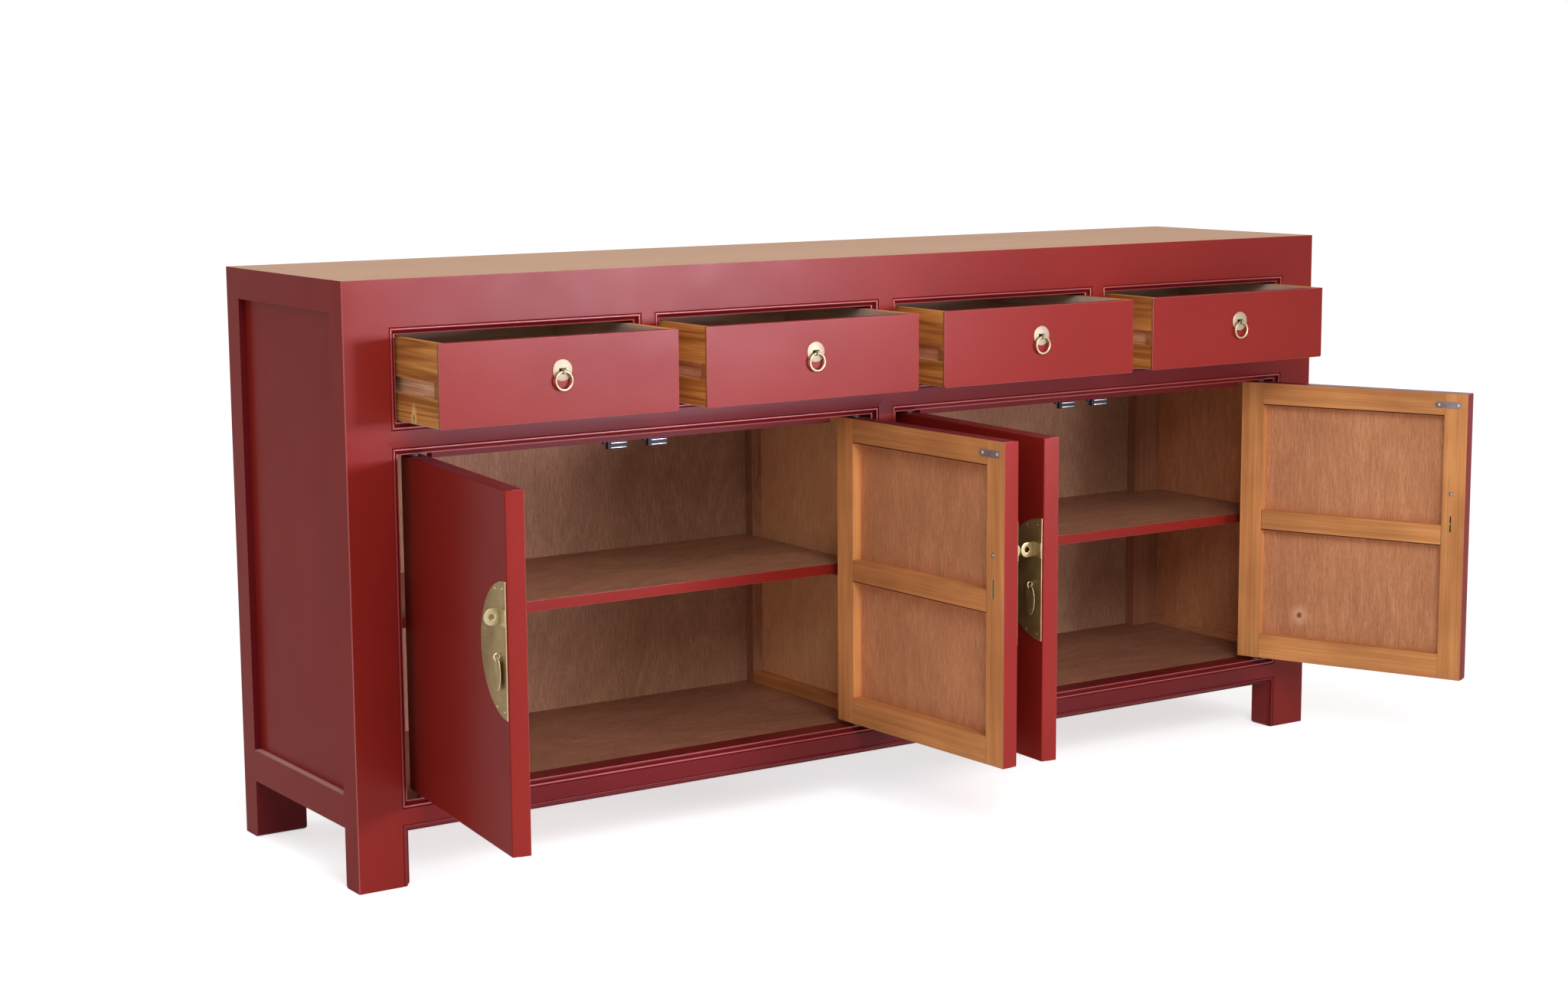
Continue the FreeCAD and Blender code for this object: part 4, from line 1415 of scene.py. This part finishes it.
def turned(name, radius, low, high):
    """An upright pin or collar on the door's pivot axis, in steel darkened as painted shade."""
    piece = start(bpy.ops.mesh.primitive_cylinder_add, name, pin_steel_in_shade_material, vertices=round_sides,
                  radius=radius, depth=high - low, location=(0, 0, (low + high) / 2))
    return rounded(piece, pin_rim)


fittings = joined("fittings_steel", [
    strike_plate(), *screws, washer, rivet, split_leg(1), split_leg(-1),
    turned("lower_pin", pin_radius, pin_bottom, door_base),
    turned("lower_collar", collar_radius, door_base - lower_collar, door_base),
    turned("upper_pin", pin_radius, door_top, pin_top),
    turned("upper_collar", collar_radius, door_top, door_top + upper_collar),
])
print("fittings faces:", len(fittings.data.polygons))

# %% [markdown]
# ### Four doors from one
# The brasswork was made on one closed door at the origin. Each door gets its own copy, turned to
# the way that door stands open. A right-hand door is a mirror image, which is why the copy has its
# faces turned outwards again. The leaf rides on a body of its own, because it swings on the eye.

# %% Hang the fittings on all four doors
def on_door(template, number, node_name, body):
    """Copy a fitting made on a closed left-hand door onto the door that stands open."""
    along, out, pivot = door_axes(number)
    placement = Matrix((along, -out, Vector((0, 0, 1)))).transposed().to_4x4()
    placement.translation = (pivot.x, pivot.y, 0)
    piece = placed_copy(template, f"door_{number}_{template.name}", placement)
    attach(piece, body)
    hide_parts(node_name)


for number in range(1, 5):
    on_door(lock, number, f"door_{number}_lock", f"door_{number}")
    on_door(fittings, number, f"door_{number}_fittings", f"door_{number}")
    on_door(leaf, number, f"door_{number}_leaf", f"leaf_{number}")
for template in (lock, fittings, leaf):
    bpy.data.objects.remove(template)
print("doors with fittings: 4")

# %% [markdown]
# ## Ring pulls
# A drawer is pulled by a plain ring. It hangs in a flat strap that is bent round it and goes back
# through a slot in a small round plate. The plate is a cylinder whose slot is cut by a boolean
# modifier, and the strap is a small rectangle spun round the ring's wire.

# %% Ring pull
pull_radius = 0.015
pull_thickness = 0.0012
pull_rim = 0.0004
pull_sides = 72
slot_half_width = 0.0055
slot_half_height = 0.0024
slot_above = 0.002
slot_depth = 0.0009
hook_radius = 0.0032
hook_half_width = 0.0021
hook_half_thickness = 0.0005
hook_rim = 0.00025
hook_steps = 28
hook_centre = Vector((0, -pull_thickness - 0.0036, -0.0015))
ring_radius = 0.01275
ring_wire = 0.00175
ring_steps = 64

plate = disc("pull_plate", pale_brass_material, pull_sides, pull_radius, pull_thickness,
             (0, -pull_thickness / 2, 0))
rounded(plate, pull_rim, rim_material)
# The slot's faces get the dark finish of painted shade.
plate.data.materials.append(hollow_shade_material)
slot_low = (-slot_half_width, -pull_thickness - slot_depth, hook_centre.z - slot_half_height)
slot_high = (slot_half_width, -pull_thickness + slot_depth, hook_centre.z + slot_half_height + slot_above)
cutter = block("slot", slot_low, slot_high, hollow_shade_material)
modified(plate, "BOOLEAN", object=cutter, solver="EXACT", material_mode="TRANSFER")
bpy.data.objects.remove(cutter)

top_of_hook = hook_centre + Vector((0, 0, hook_radius))
hook = start(bpy.ops.mesh.primitive_plane_add, "hook", pale_brass_material, size=1.0,
             location=top_of_hook, rotation=towards_front,
             scale=(2 * hook_half_width, 2 * hook_half_thickness, 1))
edit(hook)
bpy.ops.mesh.spin(steps=hook_steps, angle=math.tau, center=hook_centre, axis=(1, 0, 0))
bpy.ops.mesh.select_all(action="SELECT")
bpy.ops.mesh.remove_doubles(threshold=merge_distance)
choose("faces", lambda face: abs(face.normal.y) > 1 - tiny
       and abs(face.calc_center_median().z - top_of_hook.z) < tiny)
bpy.ops.mesh.delete(type="ONLY_FACE")
turn_outwards()
done()
rounded(hook, hook_rim)
pull = joined("pull_brass", [plate, hook])
ring_centre = hook_centre - Vector((0, 0, ring_radius))
ring_axis = Vector((0, 1, 0))
ring = wire_ring("ring_brass", ring_centre, ring_axis, ring_radius, ring_wire, ring_steps, ring_material)

# %% [markdown]
# The pull and its ring are copied to the middle of each drawer's plate. The plate rides on the
# drawer, and the ring on a body of its own that swings in the strap.

# %% Pulls on all four drawers
for number in range(1, 5):
    low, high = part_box(f"drawer_{number}_pull")
    placement = Matrix.Translation(((low.x + high.x) / 2, high.y, (low.z + high.z) / 2))
    for template, kind, body in ((pull, "pull", f"drawer_{number}"), (ring, "ring", f"ring_{number}")):
        piece = placed_copy(template, f"drawer_{number}_{template.name}", placement)
        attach(piece, body)
        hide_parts(f"drawer_{number}_{kind}")
    print("drawer", number, "ring at", tuple(round(value, 4) for value in placement.translation))
for template in (pull, ring):
    bpy.data.objects.remove(template)

# %% [markdown]
# ## Magnetic catches
# Each catch is a dark plastic block, open at the front round the edges of two steel poles, with a
# small ear at its upper left corner for a screw. Its front is inset and pushed in.

# %% Catches
catch_width = 0.033
catch_height = 0.0115
catch_share = 0.6
catch_rim = 0.0018
catch_sink = 0.0005
catch_round = 0.0007
catch_ear = 0.006
catch_ear_height = 0.004
catch_ear_setback = 0.004
pole_thickness = 0.0012
pole_round = 0.2 * pole_thickness
pole_length = 0.026
pole_from_right = 0.002
pole_from_top = 0.0025
pole_spacing = 0.0066
catch_low, catch_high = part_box("catch_bodies")
catch_back = catch_low.y + (catch_high.y - catch_low.y) * catch_share
catch_edges = sorted({round(corner.co.x, 4) for corner in nodes["catch_bodies"].data.vertices})[::2]
pole_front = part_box("catch_poles")[0].y


def catch_body(edge):
    """The moulded block of one catch, from its left edge on, with a sunk front."""
    body = block("catch", (edge, catch_low.y, catch_high.z - catch_height),
                 (edge + catch_width, catch_back, catch_high.z), catch_material)
    edit(body)
    choose("faces", lambda face: face.normal.y < -facing)
    bpy.ops.mesh.inset(thickness=catch_rim)
    bpy.ops.transform.translate(value=(0, catch_sink, 0))
    done()
    return rounded(body, catch_round)


def catch_tab(edge):
    """The small ear at the upper left corner of one catch."""
    low = (edge - catch_ear, catch_low.y + catch_ear_setback, catch_high.z - catch_ear_height)
    high = (edge + catch_round, catch_back, catch_high.z)
    return rounded(block("tab", low, high, catch_material), catch_round)


def catch_pole(edge, drop):
    """One steel pole, whose edge shows at the front of its catch."""
    right = edge + catch_width - pole_from_right
    low = (right - pole_length, pole_front, catch_high.z - drop - pole_thickness / 2)
    high = (right, catch_low.y + catch_sink, catch_high.z - drop + pole_thickness / 2)
    return rounded(block("pole", low, high, bright_steel_material), pole_round)


catches = [make(edge) for edge in catch_edges for make in (catch_body, catch_tab)]
poles = [catch_pole(edge, drop) for edge in catch_edges
         for drop in (pole_from_top, pole_from_top + pole_spacing)]
for name, pieces, slot in (("catch_bodies", catches, "catch_plastic"), ("catch_poles", poles, "steel")):
    piece = joined(f"{name}_piece", pieces)
    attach(piece, "carcass")
    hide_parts(name)
print("catches:", len(catch_edges))

# %% [markdown]
# ## The boards that hardly show
# The back, the floor, the top and the battens behind the drawers keep the shape that they were
# built with, because no arris of theirs is seen. They only get their finish: one material takes
# the place of the plain one in each.

# %% Dress the remaining nodes
# The door stops get the darker lacquer, which is painted shade under the middle rail.
plain_boards = {
    "back_panel": back_ply_material,
    "floor_board": floor_ply_material,
    "top_panel": top_material,
    "door_stops": shaded_material,
    "drawer_guides": batten_material,
    "drawer_runners": batten_material,
    "shelf_bearers": batten_material,
}
for name, finish in plain_boards.items():
    nodes[name].data.materials.clear()
    nodes[name].data.materials.append(finish)
print("plain boards:", len(plain_boards))
